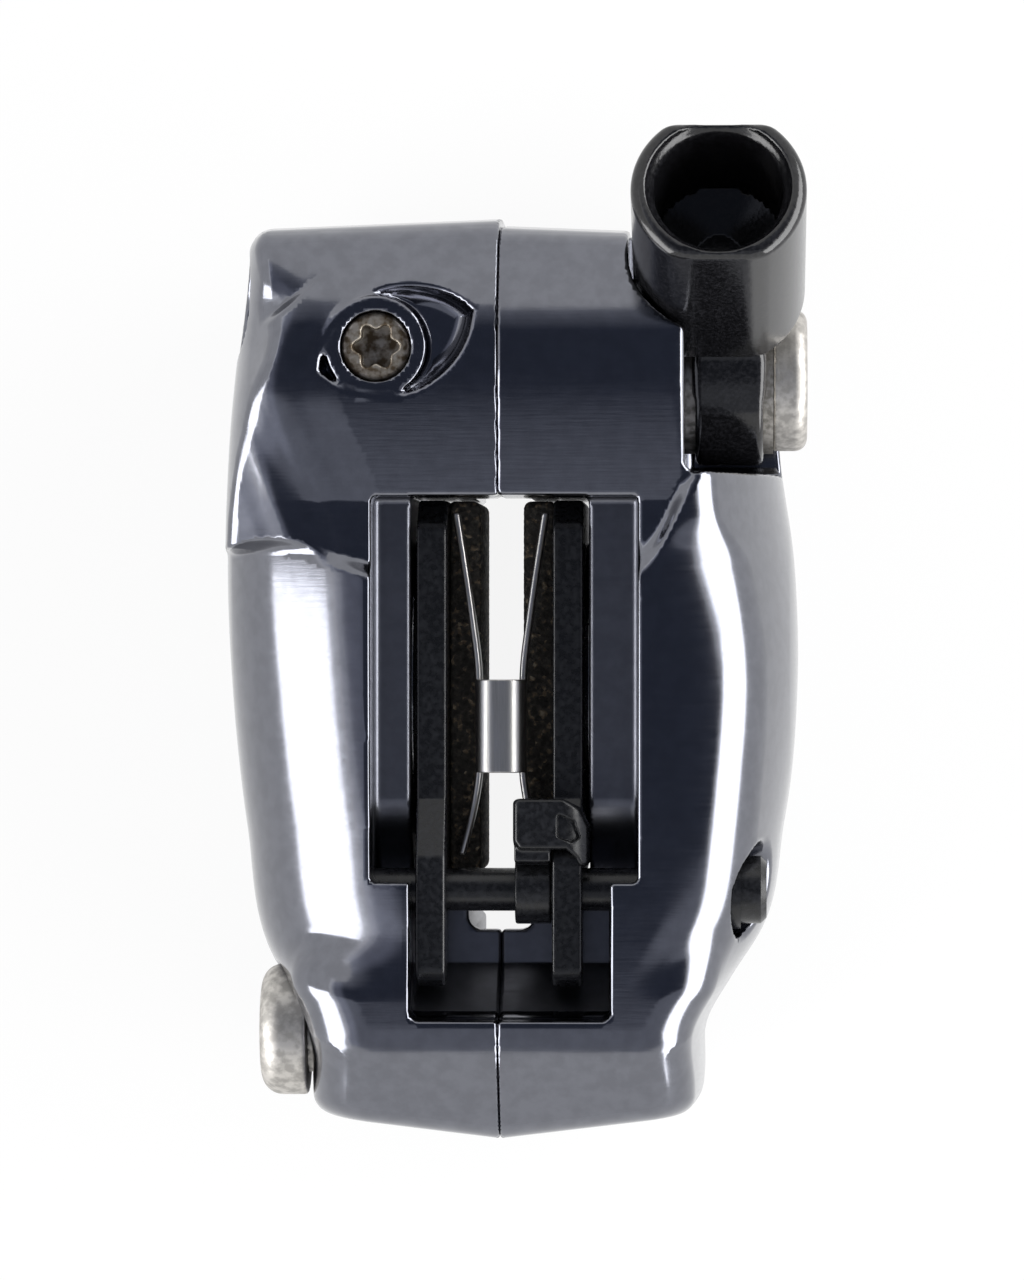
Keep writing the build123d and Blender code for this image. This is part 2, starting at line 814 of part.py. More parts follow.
def make_clip():
    """The dark spring clip: a ring round the pin, a finger up the gap and a curl over the plate."""
    near = plate_inner_x - 0.1
    ring_r = pin_r + 0.1
    low_x = 1.1
    top = pad_tab_z + 0.15
    with BuildPart() as clip:
        with BuildSketch(side_plane(low_x)):
            with Locations((pin_y, pin_z)):
                Circle(ring_r + clip_thickness)
                Circle(ring_r, mode=Mode.SUBTRACT)
            with BuildLine():
                Polyline(
                    (pin_y + ring_r + 0.1, pin_z),
                    (pin_y + ring_r + clip_thickness, pin_z - 0.3),
                    (tab_neck_y + 3.0, top - 1.6),
                    (tab_neck_y + 3.0, top + 0.4),
                    (pin_y + ring_r + 0.4, top + 0.4),
                    close=True,
                )
            make_face()
        extrude(amount=near - low_x)
        with BuildSketch(Plane.XY.offset(top)):
            with BuildLine():
                Polyline(
                    (near - 0.3, tab_neck_y + 1.6),
                    (plate_outer_x - 0.2, tab_neck_y + 1.9),
                    (plate_outer_x + 0.25, tab_neck_y + 0.6),
                    (plate_outer_x - 0.1, tab_neck_y - 1.6),
                    (near - 0.3, tab_neck_y - 2.4),
                    close=True,
                )
            make_face()
        extrude(amount=clip_thickness)
    return clip.part


def make_bolt(y, seat_x):
    """A body bolt with a rounded head and a hexagon socket."""
    head_end = seat_x - body_bolt_head_length
    with BuildPart() as bolt:
        with BuildSketch(Plane.XY):
            with BuildLine():
                Polyline(
                    (body_bolt_reach, 0),
                    (body_bolt_reach, body_bolt_r - 0.5),
                    (body_bolt_reach - 0.5, body_bolt_r),
                    (seat_x, body_bolt_r),
                    (seat_x, body_bolt_head_r),
                    (head_end + 0.8, body_bolt_head_r),
                )
                ThreePointArc(
                    (head_end + 0.8, body_bolt_head_r),
                    (head_end + 0.25, body_bolt_head_r - 0.25),
                    (head_end, body_bolt_head_r - 0.8),
                )
                Polyline((head_end, body_bolt_head_r - 0.8), (head_end, 0), (body_bolt_reach, 0))
            make_face()
        revolve(axis=Axis.X)
        with BuildSketch(side_plane(head_end)):
            socket_sketch(body_bolt_socket_width)
        extrude(amount=body_bolt_socket_depth, mode=Mode.SUBTRACT)
    return bolt.part.moved(Location((0, y, body_bolt_z)))


def make_body_bolts():
    """Both body bolts, as one group."""
    with BuildPart() as bolts:
        for y, seat_x in zip(body_bolt_ys, body_bolt_seats):
            add(make_bolt(y, seat_x))
    return bolts.part


def make_transfer_seal():
    """The ring between the halves round the fluid passage."""
    bore_of_ring = transfer_seal_r - transfer_seal_section
    ring = cross_rod(0, -transfer_seal_depth, transfer_y, transfer_z, transfer_seal_r)
    return ring - cross_rod(0, -transfer_seal_depth, transfer_y, transfer_z, bore_of_ring)


def washer(near_x):
    """A sealing washer beside the banjo eye."""
    far_x = near_x + banjo_washer
    ring = cross_rod(near_x, far_x, banjo_y, banjo_z, banjo_bolt_r + banjo_washer_width)
    return ring - cross_rod(near_x, far_x, banjo_y, banjo_z, banjo_bolt_r + running_gap)


def tube_section(scale=1.0):
    """The hose tube's section: round at the sides, with a spanner flat above and below."""
    with BuildSketch() as section:
        Circle(tube_r * scale)
        Rectangle(2 * tube_r, 2 * tube_flat * scale, mode=Mode.INTERSECT)
    return section.sketch


def tube_frame(along):
    """The plane across the hose tube at a distance from its mouth, facing back to the eye."""
    y, z = tube_point(along, 0)
    tilt = radians(tube_tilt)
    return Plane(origin=(tube_x, y, z), x_dir=(1, 0, 0), z_dir=(0, -sin(tilt), -cos(tilt)))


def make_banjo():
    """The hose fitting: an eye round its bolt, a short neck and a tilted tube with an open port."""
    rear_low = tube_point(tube_length, -tube_flat + 1.0)
    rear_high = tube_point(tube_length, tube_flat - 1.0)
    ahead_low = tube_point(tube_length - 3, -tube_flat + 1.0)
    ahead_high = tube_point(tube_length - 3, tube_flat - 1.0)
    with BuildPart() as banjo:
        with BuildSketch(side_plane(eye_near_x)):
            with Locations((banjo_y, banjo_z)):
                Circle(banjo_eye_r)
            with BuildLine():
                Polyline(
                    (banjo_y - 1.5, banjo_z + banjo_eye_r - 0.4),
                    rear_low,
                    ahead_low,
                    ahead_high,
                    rear_high,
                    (banjo_y + banjo_eye_r - 0.4, banjo_z - 1.0),
                    close=True,
                )
            make_face()
        extrude(amount=banjo_eye_width)
        with BuildSketch(tube_frame(0)):
            add(tube_section(0.95))
        with BuildSketch(tube_frame(0.6)):
            add(tube_section())
        loft()
        with BuildSketch(tube_frame(0.6)):
            add(tube_section())
        extrude(amount=tube_length - 2.2)
        with BuildSketch(tube_frame(tube_length - 1.6)):
            add(tube_section())
        with BuildSketch(tube_frame(tube_length)):
            add(tube_section(0.86))
        loft()
        eye_hole_r = banjo_bolt_r + running_gap
        add(cross_rod(eye_near_x - 1, eye_far_x + 1, banjo_y, banjo_z, eye_hole_r), mode=Mode.SUBTRACT)
        with BuildSketch(tube_frame(0)):
            Circle(tube_r * 0.95 - 0.5)
        with BuildSketch(tube_frame(tube_wall_cone)):
            Circle(hose_thread_r)
        loft(mode=Mode.SUBTRACT)
        with BuildSketch(tube_frame(tube_wall_cone)):
            Circle(hose_thread_r)
        extrude(amount=hose_thread_length, mode=Mode.SUBTRACT)
        with BuildSketch(tube_frame(tube_wall_cone + hose_thread_length)):
            Circle(hose_thread_r)
        with BuildSketch(tube_frame(tube_wall_cone + hose_thread_length + hose_cone_length)):
            Circle(hose_cone_r)
        loft(mode=Mode.SUBTRACT)
    return banjo.part


def make_banjo_bolt():
    """The bolt through the banjo eye, with a domed head and a hexagon socket."""
    head_end = banjo_head_x + banjo_head_length
    with BuildPart() as bolt:
        with BuildSketch(Plane.XY):
            with BuildLine():
                Polyline(
                    (banjo_bolt_end_x, 0),
                    (banjo_bolt_end_x, banjo_bolt_r - 0.4),
                    (banjo_bolt_end_x + 0.4, banjo_bolt_r),
                    (banjo_head_x, banjo_bolt_r),
                    (banjo_head_x, banjo_head_r),
                    (head_end - 0.7, banjo_head_r),
                )
                ThreePointArc(
                    (head_end - 0.7, banjo_head_r),
                    (head_end - 0.2, banjo_head_r - 0.2),
                    (head_end, banjo_head_r - 0.7),
                )
                Polyline((head_end, banjo_head_r - 0.7), (head_end, 0), (banjo_bolt_end_x, 0))
            make_face()
        revolve(axis=Axis.X)
        with BuildSketch(side_plane(head_end)):
            socket_sketch(banjo_socket_width)
        extrude(amount=-banjo_socket_depth, mode=Mode.SUBTRACT)
    return bolt.part.moved(Location((0, banjo_y, banjo_z)))


def make_bleed_screw():
    """The bleed screw: a short shank under a round head with a star socket."""
    with BuildPart() as screw:
        add(upright_rod(bleed_x, bleed_y, bleed_hole_z + 0.5, bleed_seat_z, bleed_shank_r))
        with BuildSketch(Plane.XY.offset(bleed_seat_z)):
            with Locations((bleed_x, bleed_y)):
                Circle(bleed_head_r)
        extrude(amount=bleed_head_z - bleed_seat_z)
        chamfer(screw.faces().sort_by(Axis.Z)[-1].edges(), 0.35)
        with BuildSketch(Plane.XY.offset(bleed_head_z)):
            with Locations((bleed_x, bleed_y)):
                Circle(star_r * 0.8)
                with PolarLocations(star_r * 0.75, 6):
                    Circle(star_r * 0.28)
        extrude(amount=-star_depth, mode=Mode.SUBTRACT)
        add(bleed_seal_groove(), mode=Mode.SUBTRACT)
    return screw.part


def bleed_seal_ring(inner_r, outer_r, grow=0.0):
    """A ring round the bleed screw's shank, just under its head."""
    low = bleed_seat_z - 1.6 - grow
    high = bleed_seat_z - 0.6 + grow
    ring = upright_rod(bleed_x, bleed_y, low, high, outer_r)
    return ring - upright_rod(bleed_x, bleed_y, low, high, inner_r)


def bleed_seal_groove():
    """The groove in the shank that holds the bleed seal."""
    return bleed_seal_ring(bleed_shank_r - 0.8, bleed_shank_r + 1, seat_gap)


def save(part, name):
    """Write a piece, with the origin at the middle of the frame bolts."""
    piece = part.moved(Location((-frame_bolt_x, 0, 0)))
    piece.label = name
    export_step(piece, f"parts/{name}.step")


def main():
    """Make and write every piece."""
    os.makedirs("parts", exist_ok=True)
    save(make_inner_half(), "caliper_half_inner")
    save(make_outer_half(), "caliper_half_outer")
    for side, word in SIDE_NAMES.items():
        save(make_piston(side), f"piston_{word}")
        save(make_insert(side), f"piston_insert_{word}")
        save(make_piston_seal(side), f"piston_seal_{word}")
        save(make_plate(side), f"pad_plate_{word}")
        save(make_lining(side), f"pad_lining_{word}")
    save(make_spring(), "pad_spring")
    save(make_pin(), "pad_pin")
    save(make_clip(), "pad_clip")
    save(make_body_bolts(), "body_bolts")
    save(make_transfer_seal(), "transfer_seal")
    save(make_banjo(), "banjo_fitting")
    save(make_banjo_bolt(), "banjo_bolt")
    save(washer(banjo_seat_x), "banjo_washer_inner")
    save(washer(eye_far_x), "banjo_washer_outer")
    save(make_bleed_screw(), "bleed_screw")
    save(bleed_seal_ring(bleed_shank_r - 0.75, bleed_shank_r), "bleed_seal")


main()
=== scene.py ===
import json
import math

import bmesh
import bpy
import numpy as np
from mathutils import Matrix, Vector


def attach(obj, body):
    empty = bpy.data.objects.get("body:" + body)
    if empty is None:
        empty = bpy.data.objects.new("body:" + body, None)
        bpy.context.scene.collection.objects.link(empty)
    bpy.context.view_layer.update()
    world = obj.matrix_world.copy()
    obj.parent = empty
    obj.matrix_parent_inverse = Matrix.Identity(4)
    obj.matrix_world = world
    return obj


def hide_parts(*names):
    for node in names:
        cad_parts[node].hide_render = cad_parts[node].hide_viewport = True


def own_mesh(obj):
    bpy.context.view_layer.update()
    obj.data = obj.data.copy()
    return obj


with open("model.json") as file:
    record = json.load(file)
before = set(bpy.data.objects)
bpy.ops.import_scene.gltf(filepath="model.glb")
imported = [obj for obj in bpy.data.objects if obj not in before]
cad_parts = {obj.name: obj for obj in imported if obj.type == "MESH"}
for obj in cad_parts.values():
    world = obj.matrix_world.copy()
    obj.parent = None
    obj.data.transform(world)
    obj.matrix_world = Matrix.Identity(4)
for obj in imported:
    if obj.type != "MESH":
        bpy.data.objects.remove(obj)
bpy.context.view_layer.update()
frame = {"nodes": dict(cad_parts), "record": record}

bl_info = {
    "name": "Disc Brake Caliper",
    "version": (1, 0, 0),
    "blender": (4, 5, 0),
    "location": "3D View > Sidebar > Caliper",
    "description": "Dresses the packed two-piece disc brake caliper and lights it in a plain studio",
    "category": "Object",
}

# Forms are drawn in millimetres about the rotor, as the part's source draws them: X runs across
# the rotor with 0 in its middle plane, Y along the pads with 0 on the pistons' axis, and Z up
# from the frame face. SHIFT_X moves them to the frame bolts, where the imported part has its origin.
MM = 0.001
SHIFT_X = -14.0
INNER = -1
OUTER = 1


# Settings that a user would change


def colour_setting(name, description, default):
    """A setting that holds a colour."""
    return bpy.props.FloatVectorProperty(
        name=name, description=description, subtype="COLOR", size=3, default=default, min=0, max=1,
    )


class CaliperBodySettings(bpy.types.PropertyGroup):
    """Sizes and finish of the two body halves."""

    cell: bpy.props.FloatProperty(
        name="Mesh cell", description="Spacing of the sculpting grid of the halves, in millimetres",
        default=0.3, min=0.15, max=1.0,
    )
    keep: bpy.props.FloatProperty(
        name="Faces kept", description="Share of the sculpted faces that stays after thinning out",
        default=0.5, min=0.1, max=1.0, subtype="FACTOR",
    )
    rim: bpy.props.FloatProperty(
        name="Rim rounding", description="Rounding of the cut edges of the halves, in millimetres",
        default=0.28, min=0.05, max=1.0,
    )
    colour: colour_setting("Anodised colour", "Reflectance of the dark anodised finish", (0.17, 0.175, 0.2))
    roughness: bpy.props.FloatProperty(
        name="Roughness", description="How soft the reflections in the anodised finish are",
        default=0.13, min=0, max=1, subtype="FACTOR",
    )


class CaliperFittingSettings(bpy.types.PropertyGroup):
    """Sizes and finish of the hose fitting and the small parts."""

    cell: bpy.props.FloatProperty(
        name="Mesh cell", description="Spacing of the sculpting grid of the small parts, in millimetres",
        default=0.2, min=0.1, max=1.0,
    )
    black: colour_setting("Black coat", "Colour of the glossy black fitting", (0.006, 0.006, 0.007))
    silver: colour_setting("Matte silver", "Colour of the bolts' matte zinc", (0.52, 0.5, 0.47))


class CaliperPadSettings(bpy.types.PropertyGroup):
    """Finish of the pads, the pin and the springs."""

    steel: colour_setting(
        "Coated steel", "Colour of the black coated plates, pin and clip", (0.006, 0.0063, 0.0075),
    )
    lining: colour_setting(
        "Friction material", "Ground colour of the sintered friction blocks", (0.075, 0.068, 0.058),
    )


class CaliperStageSettings(bpy.types.PropertyGroup):
    """Camera distance and studio light."""

    distance: bpy.props.FloatProperty(
        name="Camera distance", description="From the camera to the front of the caliper",
        default=0.45, min=0.1, max=3, unit="LENGTH",
    )
    softbox: bpy.props.FloatProperty(
        name="Softbox level", description="Radiance of the side softboxes, where 1 shows as white",
        default=5.5, min=0, max=20,
    )
    floor: colour_setting("Floor colour", "Colour of the plain pale floor", (0.93, 0.93, 0.93))


# Sculpting in numbers: every form is a function of x, y, z that is negative inside it. Where both
# sides share a form, u stands for x: the distance out from the rotor's middle plane.


def step(low, high, value):
    """A smooth step from 0 at low to 1 at high."""
    t = np.clip((value - low) / (high - low), 0.0, 1.0)
    return t * t * (3 - 2 * t)


def along(points, value):
    """A smooth curve through (place, height) points, read at value. Its ends run on level."""
    places = np.array([p[0] for p in points], float)
    heights = np.array([p[1] for p in points], float)
    order = np.argsort(places)
    places, heights = places[order], heights[order]
    slopes = np.zeros_like(heights)
    runs = np.diff(places)
    rises = np.diff(heights) / runs
    slopes[1:-1] = (rises[:-1] * runs[1:] + rises[1:] * runs[:-1]) / (runs[1:] + runs[:-1])
    slopes[0], slopes[-1] = rises[0], rises[-1]
    spot = np.clip(np.searchsorted(places, value) - 1, 0, len(runs) - 1)
    run = runs[spot]
    t = np.clip((value - places[spot]) / run, 0.0, 1.0)
    t2, t3 = t * t, t * t * t
    start = (2 * t3 - 3 * t2 + 1) * heights[spot] + (t3 - 2 * t2 + t) * run * slopes[spot]
    return start + (3 * t2 - 2 * t3) * heights[spot + 1] + (t3 - t2) * run * slopes[spot + 1]


def both(a, b, r):
    """Inside a and inside b, with the outer edge rounded to radius r."""
    round_part = np.hypot(np.maximum(a + r, 0), np.maximum(b + r, 0))
    return np.minimum(-r, np.maximum(a, b)) + round_part


def join(a, b, r):
    """Inside a or b, with the inner corner filleted to radius r."""
    return -both(-a, -b, r)


def cut(a, tool, r):
    """a with the tool's form cut away, and the new edge rounded to radius r."""
    return both(a, -tool, r)


def mix(a, b, share):
    """a where share is 0, b where it is 1."""
    return a + (b - a) * share


def rod_x(x, y, z, at_y, at_z, r, x_low, x_high, edge=0.0):
    """A round rod along X."""
    body = np.hypot(y - at_y, z - at_z) - r
    ends = np.abs(x - (x_low + x_high) / 2) - (x_high - x_low) / 2
    return both(body, ends, edge) if edge else np.maximum(body, ends)


def rod_z(x, y, z, at_x, at_y, r, z_low, z_high, edge=0.0):
    """A round rod along Z."""
    return rod_x(z, x, y, at_x, at_y, r, z_low, z_high, edge)


def turned(x, y, z, at_y, at_z, r, x_low, x_high, low_edge, high_edge):
    """A round rod along X whose two ends have their own rounding."""
    body = both(np.hypot(y - at_y, z - at_z) - r, x_low - x, low_edge)
    return both(body, x - x_high, high_edge)


def hexagon(a, b, width):
    """A hexagon about the middle of a and b, given across its flats."""
    flats = [np.abs(a * math.cos(turn) + b * math.sin(turn)) for turn in (0, math.pi / 3, 2 * math.pi / 3)]
    return np.maximum.reduce(flats) - width / 2


def polygon(a, b, corners):
    """Distance to the outline of a closed polygon in the plane of a and b, negative inside."""
    corners = np.array(corners, float)
    nearest = np.full(np.shape(a), np.inf)
    inside = np.zeros(np.shape(a), bool)
    for (a0, b0), (a1, b1) in zip(corners, np.roll(corners, -1, axis=0)):
        ea, eb = a1 - a0, b1 - b0
        wa, wb = a - a0, b - b0
        t = np.clip((wa * ea + wb * eb) / (ea * ea + eb * eb), 0, 1)
        nearest = np.minimum(nearest, np.hypot(wa - ea * t, wb - eb * t))
        crosses = ((b0 > b) != (b1 > b)) & (a < ea * (b - b0) / (eb if eb else 1e-9) + a0)
        inside ^= crosses
    return np.where(inside, -nearest, nearest)


def slopes_of(form, points, reach=0.01):
    """The gradient of a form at points."""
    grad = np.empty_like(points)
    for axis in range(3):
        shift = np.zeros(3)
        shift[axis] = reach
        ahead, behind = points + shift, points - shift
        grad[:, axis] = (form(*ahead.T) - form(*behind.T)) / (2 * reach)
    return grad


def settle(form, points, rounds, most):
    """Moves points onto a form's surface, by at most `most` in a round."""
    for _ in range(rounds):
        value = form(*points.T)
        grad = slopes_of(form, points)
        size = np.maximum((grad * grad).sum(1), 1e-6)
        move = -grad * (value / size)[:, None]
        length = np.maximum(np.linalg.norm(move, axis=1), 1e-12)
        points = points + move * np.minimum(1.0, most / length)[:, None]
    return points


def cells_beside(found, axis, back):
    """The cells beside grid edges along an axis, so many cells back along the other two axes."""
    home = found.copy()
    home[:, [k for k in range(3) if k != axis]] -= back
    return home


def net(form, low, high, cell):
    """Points and four-sided faces of a form's surface, found on a grid of cells."""
    axes = [np.arange(a, b + cell, cell) for a, b in zip(low, high)]
    counts = [len(a) for a in axes]
    field = np.empty(counts, np.float32)
    for i, x in enumerate(axes[0]):
        gy, gz = np.meshgrid(axes[1], axes[2], indexing="ij")
        field[i] = form(np.full(gy.shape, x), gy, gz)
    inside = field < 0
    total = np.zeros([c - 1 for c in counts] + [3])
    number = np.zeros([c - 1 for c in counts])
    crossings = []
    for axis in range(3):
        start = [slice(None)] * 3
        end = [slice(None)] * 3
        start[axis], end[axis] = slice(0, -1), slice(1, None)
        start, end = tuple(start), tuple(end)
        found = np.argwhere(inside[start] != inside[end])
        a = field[start][tuple(found.T)]
        b = field[end][tuple(found.T)]
        place = found.astype(float)
        place[:, axis] += a / (a - b)
        entering = inside[start][tuple(found.T)]
        crossings.append((axis, found, entering))
        for back in ((0, 0), (0, 1), (1, 0), (1, 1)):
            home = cells_beside(found, axis, back)
            good = np.all((home >= 0) & (home < np.array(counts) - 1), axis=1)
            spots = tuple(home[good].T)
            np.add.at(total, spots, place[good])
            np.add.at(number, spots, 1)
    used = number > 0
    names = np.full(number.shape, -1)
    names[used] = np.arange(used.sum())
    points = total[used] / number[used][:, None] * cell + np.array(low)
    faces = []
    for axis, found, entering in crossings:
        ring = [cells_beside(found, axis, back) for back in ((0, 0), (1, 0), (1, 1), (0, 1))]
        good = np.all([(h >= 0).all(1) & (h < np.array(counts) - 1).all(1) for h in ring], axis=0)
        corners = np.stack([names[tuple(h[good].T)] for h in ring], axis=1)
        flip = entering[good] if axis != 1 else ~entering[good]
        corners[~flip] = corners[~flip][:, ::-1]
        faces.append(corners)
    return points, np.concatenate(faces)


def sculpt(name, form, low, high, cell, keep, body):
    """A mesh object with a form's surface, its normals taken from the form itself."""
    points, faces = net(form, low, high, cell)
    points = settle(form, points, rounds=4, most=cell * 0.5)
    mesh = bpy.data.meshes.new(name)
    mesh.from_pydata(points, [], faces.tolist())
    piece = bpy.data.objects.new(name, mesh)
    bpy.context.collection.objects.link(piece)
    if keep < 1:
        thin = piece.modifiers.new("thin", "DECIMATE")
        thin.ratio = keep
        settled = piece.evaluated_get(bpy.context.evaluated_depsgraph_get())
        piece.data = bpy.data.meshes.new_from_object(settled)
        piece.modifiers.clear()
        bpy.data.meshes.remove(mesh)
        mesh = piece.data
        mesh.name = name
    co = np.empty(len(mesh.vertices) * 3)
    mesh.vertices.foreach_get("co", co)
    points = settle(form, co.reshape(-1, 3), rounds=2, most=cell * 0.2)
    normals = slopes_of(form, points, reach=0.004)
    normals /= np.maximum(np.linalg.norm(normals, axis=1), 1e-9)[:, None]
    placed = (points + np.array([SHIFT_X, 0, 0])) * MM
    mesh.vertices.foreach_set("co", placed.ravel())
    mesh.shade_smooth()
    mesh.normals_split_custom_set_from_vertices(normals.tolist())
    mesh.update()
    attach(piece, body)
    return piece


# The body halves


# Half width of the body along its length, where the flank is widest
REACH = {
    INNER: ((33.0, 17.9), (29.2, 18.3), (16.5, 19.6), (8.5, 19.9), (-0.8, 19.3), (-9.7, 18.3),
            (-18.7, 16.6), (-22.0, 14.7), (-25.0, 13.8), (-28.6, 13.6), (-32.0, 13.4)),
    OUTER: ((33.0, 18.4), (29.0, 19.0), (15.8, 19.7), (7.5, 20.9), (2.5, 21.2), (-2.5, 20.9),
            (-9.7, 19.9), (-17.0, 18.4), (-20.5, 16.2), (-23.5, 14.5), (-28.0, 14.2), (-32.0, 13.8)),
}
# Where the front of the neck stops being level and turns to its slanted valley
NECK_RIDGE = {
    INNER: ((33.0, 17.4), (31.0, 16.2), (28.8, 14.6), (27.2, 13.4), (24.1, 14.3), (20.6, 14.9), (16.2, 13.3),
            (9.7, 10.8), (6.0, 10.2)),
    OUTER: ((33.0, 13.4), (20.0, 13.2), (15.0, 13.2), (11.5, 13.0), (9.0, 11.2), (7.0, 10.6)),
}
# Where the bulge of the outer half turns from its level front to its flank
BULGE_RIDGE = ((18.0, 14.0), (13.0, 14.2), (10.6, 14.6), (8.9, 15.2), (4.0, 16.6), (0.0, 17.2), (-6.0, 17.2),
               (-12.0, 17.0), (-16.0, 16.1), (-20.0, 14.0), (-24.0, 12.8), (-30.0, 12.4))
# The line, seen from the front, where each bulge rises from the neck
SHOULDER = {
    INNER: ((8.6, 8.2), (11.5, 9.0), (13.5, 9.7), (17.0, 9.9), (20.0, 9.0)),
    OUTER: ((9.0, 8.2), (11.2, 10.4), (12.6, 13.2), (14.2, 16.0), (21.0, 17.0)),
}
# How far the valley of the neck lies below the front, past its ridge
VALLEY = ((-4.0, 0.5), (-1.7, 0.0), (0.0, -0.2), (0.7, -0.4), (1.6, -0.85), (2.8, -1.5), (4.0, -2.05),
          (6.0, -2.75), (9.0, -3.8))
# Where that valley turns down to the flank
FLANK_LINE = ((33.0, 15.8), (31.0, 16.3), (28.0, 16.3), (23.9, 16.5), (20.7, 17.5), (17.9, 17.8),
              (16.2, 18.1), (12.6, 18.5), (8.8, 18.6))
# The largest half width of each half, and the height of the front
WIDEST = {INNER: 19.9, OUTER: 21.2}
BODY_Z = 30.5
# The Y of the crest of the bridge between the window and the upper end
CREST_Y = 22.3
# Y and Z of the axes of the pistons, the pad pin and the banjo bolt
PISTON = (0.0, 13.2)
PIN = (-14.0, 24.6)
BANJO = (21.8, 17.0)
# Y of each body bolt, and how far out its head sits
BOLTS = ((27.2, 13.3), (-24.0, 13.6))
BOLT_Z = 20.6
# How far out the bleed screw stands, and its Y
BLEED = (8.4, 23.7)
# Height of the flat under the hose fitting
SEAT_FLOOR = 10.6
# Radius of the holes that the body bolts and the banjo bolt end in, and of the pin's bores
BOLT_HOLE = 3.03
PIN_HOLE = 1.53


def crest_front(u, y, z, side):
    """Height above the front between its end slopes: the bridge falls to the shoulders."""
    crest_soft, fall = 1.3, 0.152
    below_crest = np.clip(CREST_Y - y, 0, 9.3)
    crown = fall * (np.hypot(below_crest, crest_soft) - crest_soft) + np.minimum(CREST_Y - y, 0) ** 2 / 66
    bridge = z - BODY_Z + crown
    hump = 0.0012 * (y + 2) ** 2
    level = z - (BODY_Z - hump)
    rise = 0.7 if side == INNER else 1.3
    return mix(level, bridge, step(-rise, rise, y - along(SHOULDER[side], u)))


def soft_front(u, y, z, side):
    """Distance above the front, with soft edges where the end slopes begin."""
    front = crest_front(u, y, z, side)
    top_fall, low_fall = 0.6, 0.74
    top_slope = (z - 30.55 + (y - 25.6) * top_fall) / math.hypot(1, top_fall)
    low_slope = (z - 29.6 - (y + 25.4) * low_fall) / math.hypot(1, low_fall)
    front = both(front, top_slope, 0.7)
    return both(front, low_slope, 0.9)


def flank(u, y, z, side):
    """Distance outside the flank, which draws in towards the frame face."""
    lean = 0.004 * np.maximum(z - 12.0, 0) ** 2
    foot = u - (WIDEST[side] - 2.8 * step(9.0, -1.0, z))
    return both(u - along(REACH[side], y) + lean, foot, 1.0)


def slant(u, z, ridge, degrees):
    """Distance above a slope that falls away outward from a ridge in the front."""
    tilt = math.radians(degrees)
    return (u - ridge) * math.sin(tilt) + (z - BODY_Z) * math.cos(tilt)


def neck_valley(u, y, z, side):
    """Distance above the valley that falls from the level front of the neck to its flank."""
    ridge = along(NECK_RIDGE[side], y)
    past = u - ridge
    if side == OUTER:
        return slant(u, z, ridge, 52.0) + 0.9 * np.exp(-((past - 3.2) / 2.2) ** 2)
    upper_step = 0.9 * step(0.0, 0.9, y - 27.3 + (u - 13.1) * 0.77)
    above = mix(z - BODY_Z, crest_front(u, y, z, side), step(3.8, 0.3, past))
    valley = 0.94 * (above - along(VALLEY, past) + upper_step)
    return both(valley, slant(u, z + 2.4, along(FLANK_LINE, y), 62.0), 0.5)


def dome(u, y, z, side, front, wall):
    """The rounded bulge over a piston: one wide round inside, a ridge and a flank outside."""
    if side == INNER:
        return both(front, wall, 12.0)
    ridge_round = 4.4 - 2.8 * step(8.5, 12.5, y)
    return both(both(front, slant(u, z, along(BULGE_RIDGE, y), 58.0), ridge_round), wall, 4.5)


def outer_form(u, y, z, side):
    """The whole outside of one half, before anything is cut in it."""
    front = soft_front(u, y, z, side)
    wall = flank(u, y, z, side)
    neck = both(both(front, neck_valley(u, y, z, side), 1.0), wall, 0.8)
    shoulder = along(SHOULDER[side], u)
    form = mix(neck, dome(u, y, z, side, front, wall), step(shoulder + 0.6, shoulder - 0.6, y))
    waist = both(front, wall, 4.0 if side == INNER else 3.2)
    form = mix(form, waist, step(-16.5, -21.5, y))
    upper_y = 32.6 if side == INNER else 32.1
    flare = 0.03 * np.maximum(z - 26.0, 0) + 0.08 * np.clip(26.0 - z, 0, 8.0)
    upper_end = y - (upper_y - 0.04 * u + flare)
    lower_end = -(y + 31.5 - 0.13 * u - 0.02 * (26.0 - z))
    form = both(both(form, upper_end, 1.5), lower_end, 1.2)
    form = both(form, -z, 1.0)
    # Both ends of the back are cut off at 45 degrees
    for end, back_y in ((1, 28.2), (-1, 27.0)):
        form = both(form, (end * y - back_y - z) / math.sqrt(2), 1.0)
    return both(form, -u, 0.25)


def window_cut(u, y, z, side):
    """The pads' pocket, the wider window over the ledges, the tabs' window and the rotor slot."""
    window_half = 8.8 if side == INNER else 9.7
    tab_half = 6.1 if side == INNER else 7.8
    half_length = 13.35
    slot_r, slot_top = 71.4, 22.0
    pocket = both(np.abs(y) - half_length, u - 6.2, 0.3)
    ledge = 24.9 - 4.0 * step(-7.6, -13.6, y)
    wide = both(both(np.abs(y) - half_length, u - window_half, 0.4), ledge - z, 0.5)
    ramp = 21.8 + 1.4 * np.clip(-19.2 - y, 0, 3.7)
    tabs = both(both(np.abs(y + 17.9) - 5.0, u - tab_half, 0.7), ramp - z, 0.3)
    floor_gap = both(np.abs(y - PIN[0]) - 2.95, u - 2.3, 1.0)
    slot = both(np.hypot(y, z - slot_top + slot_r) - slot_r, u - 1.9, 0.3)
    return np.minimum(np.minimum(join(pocket, wide, 0.2), join(tabs, floor_gap, 0.2)), slot)


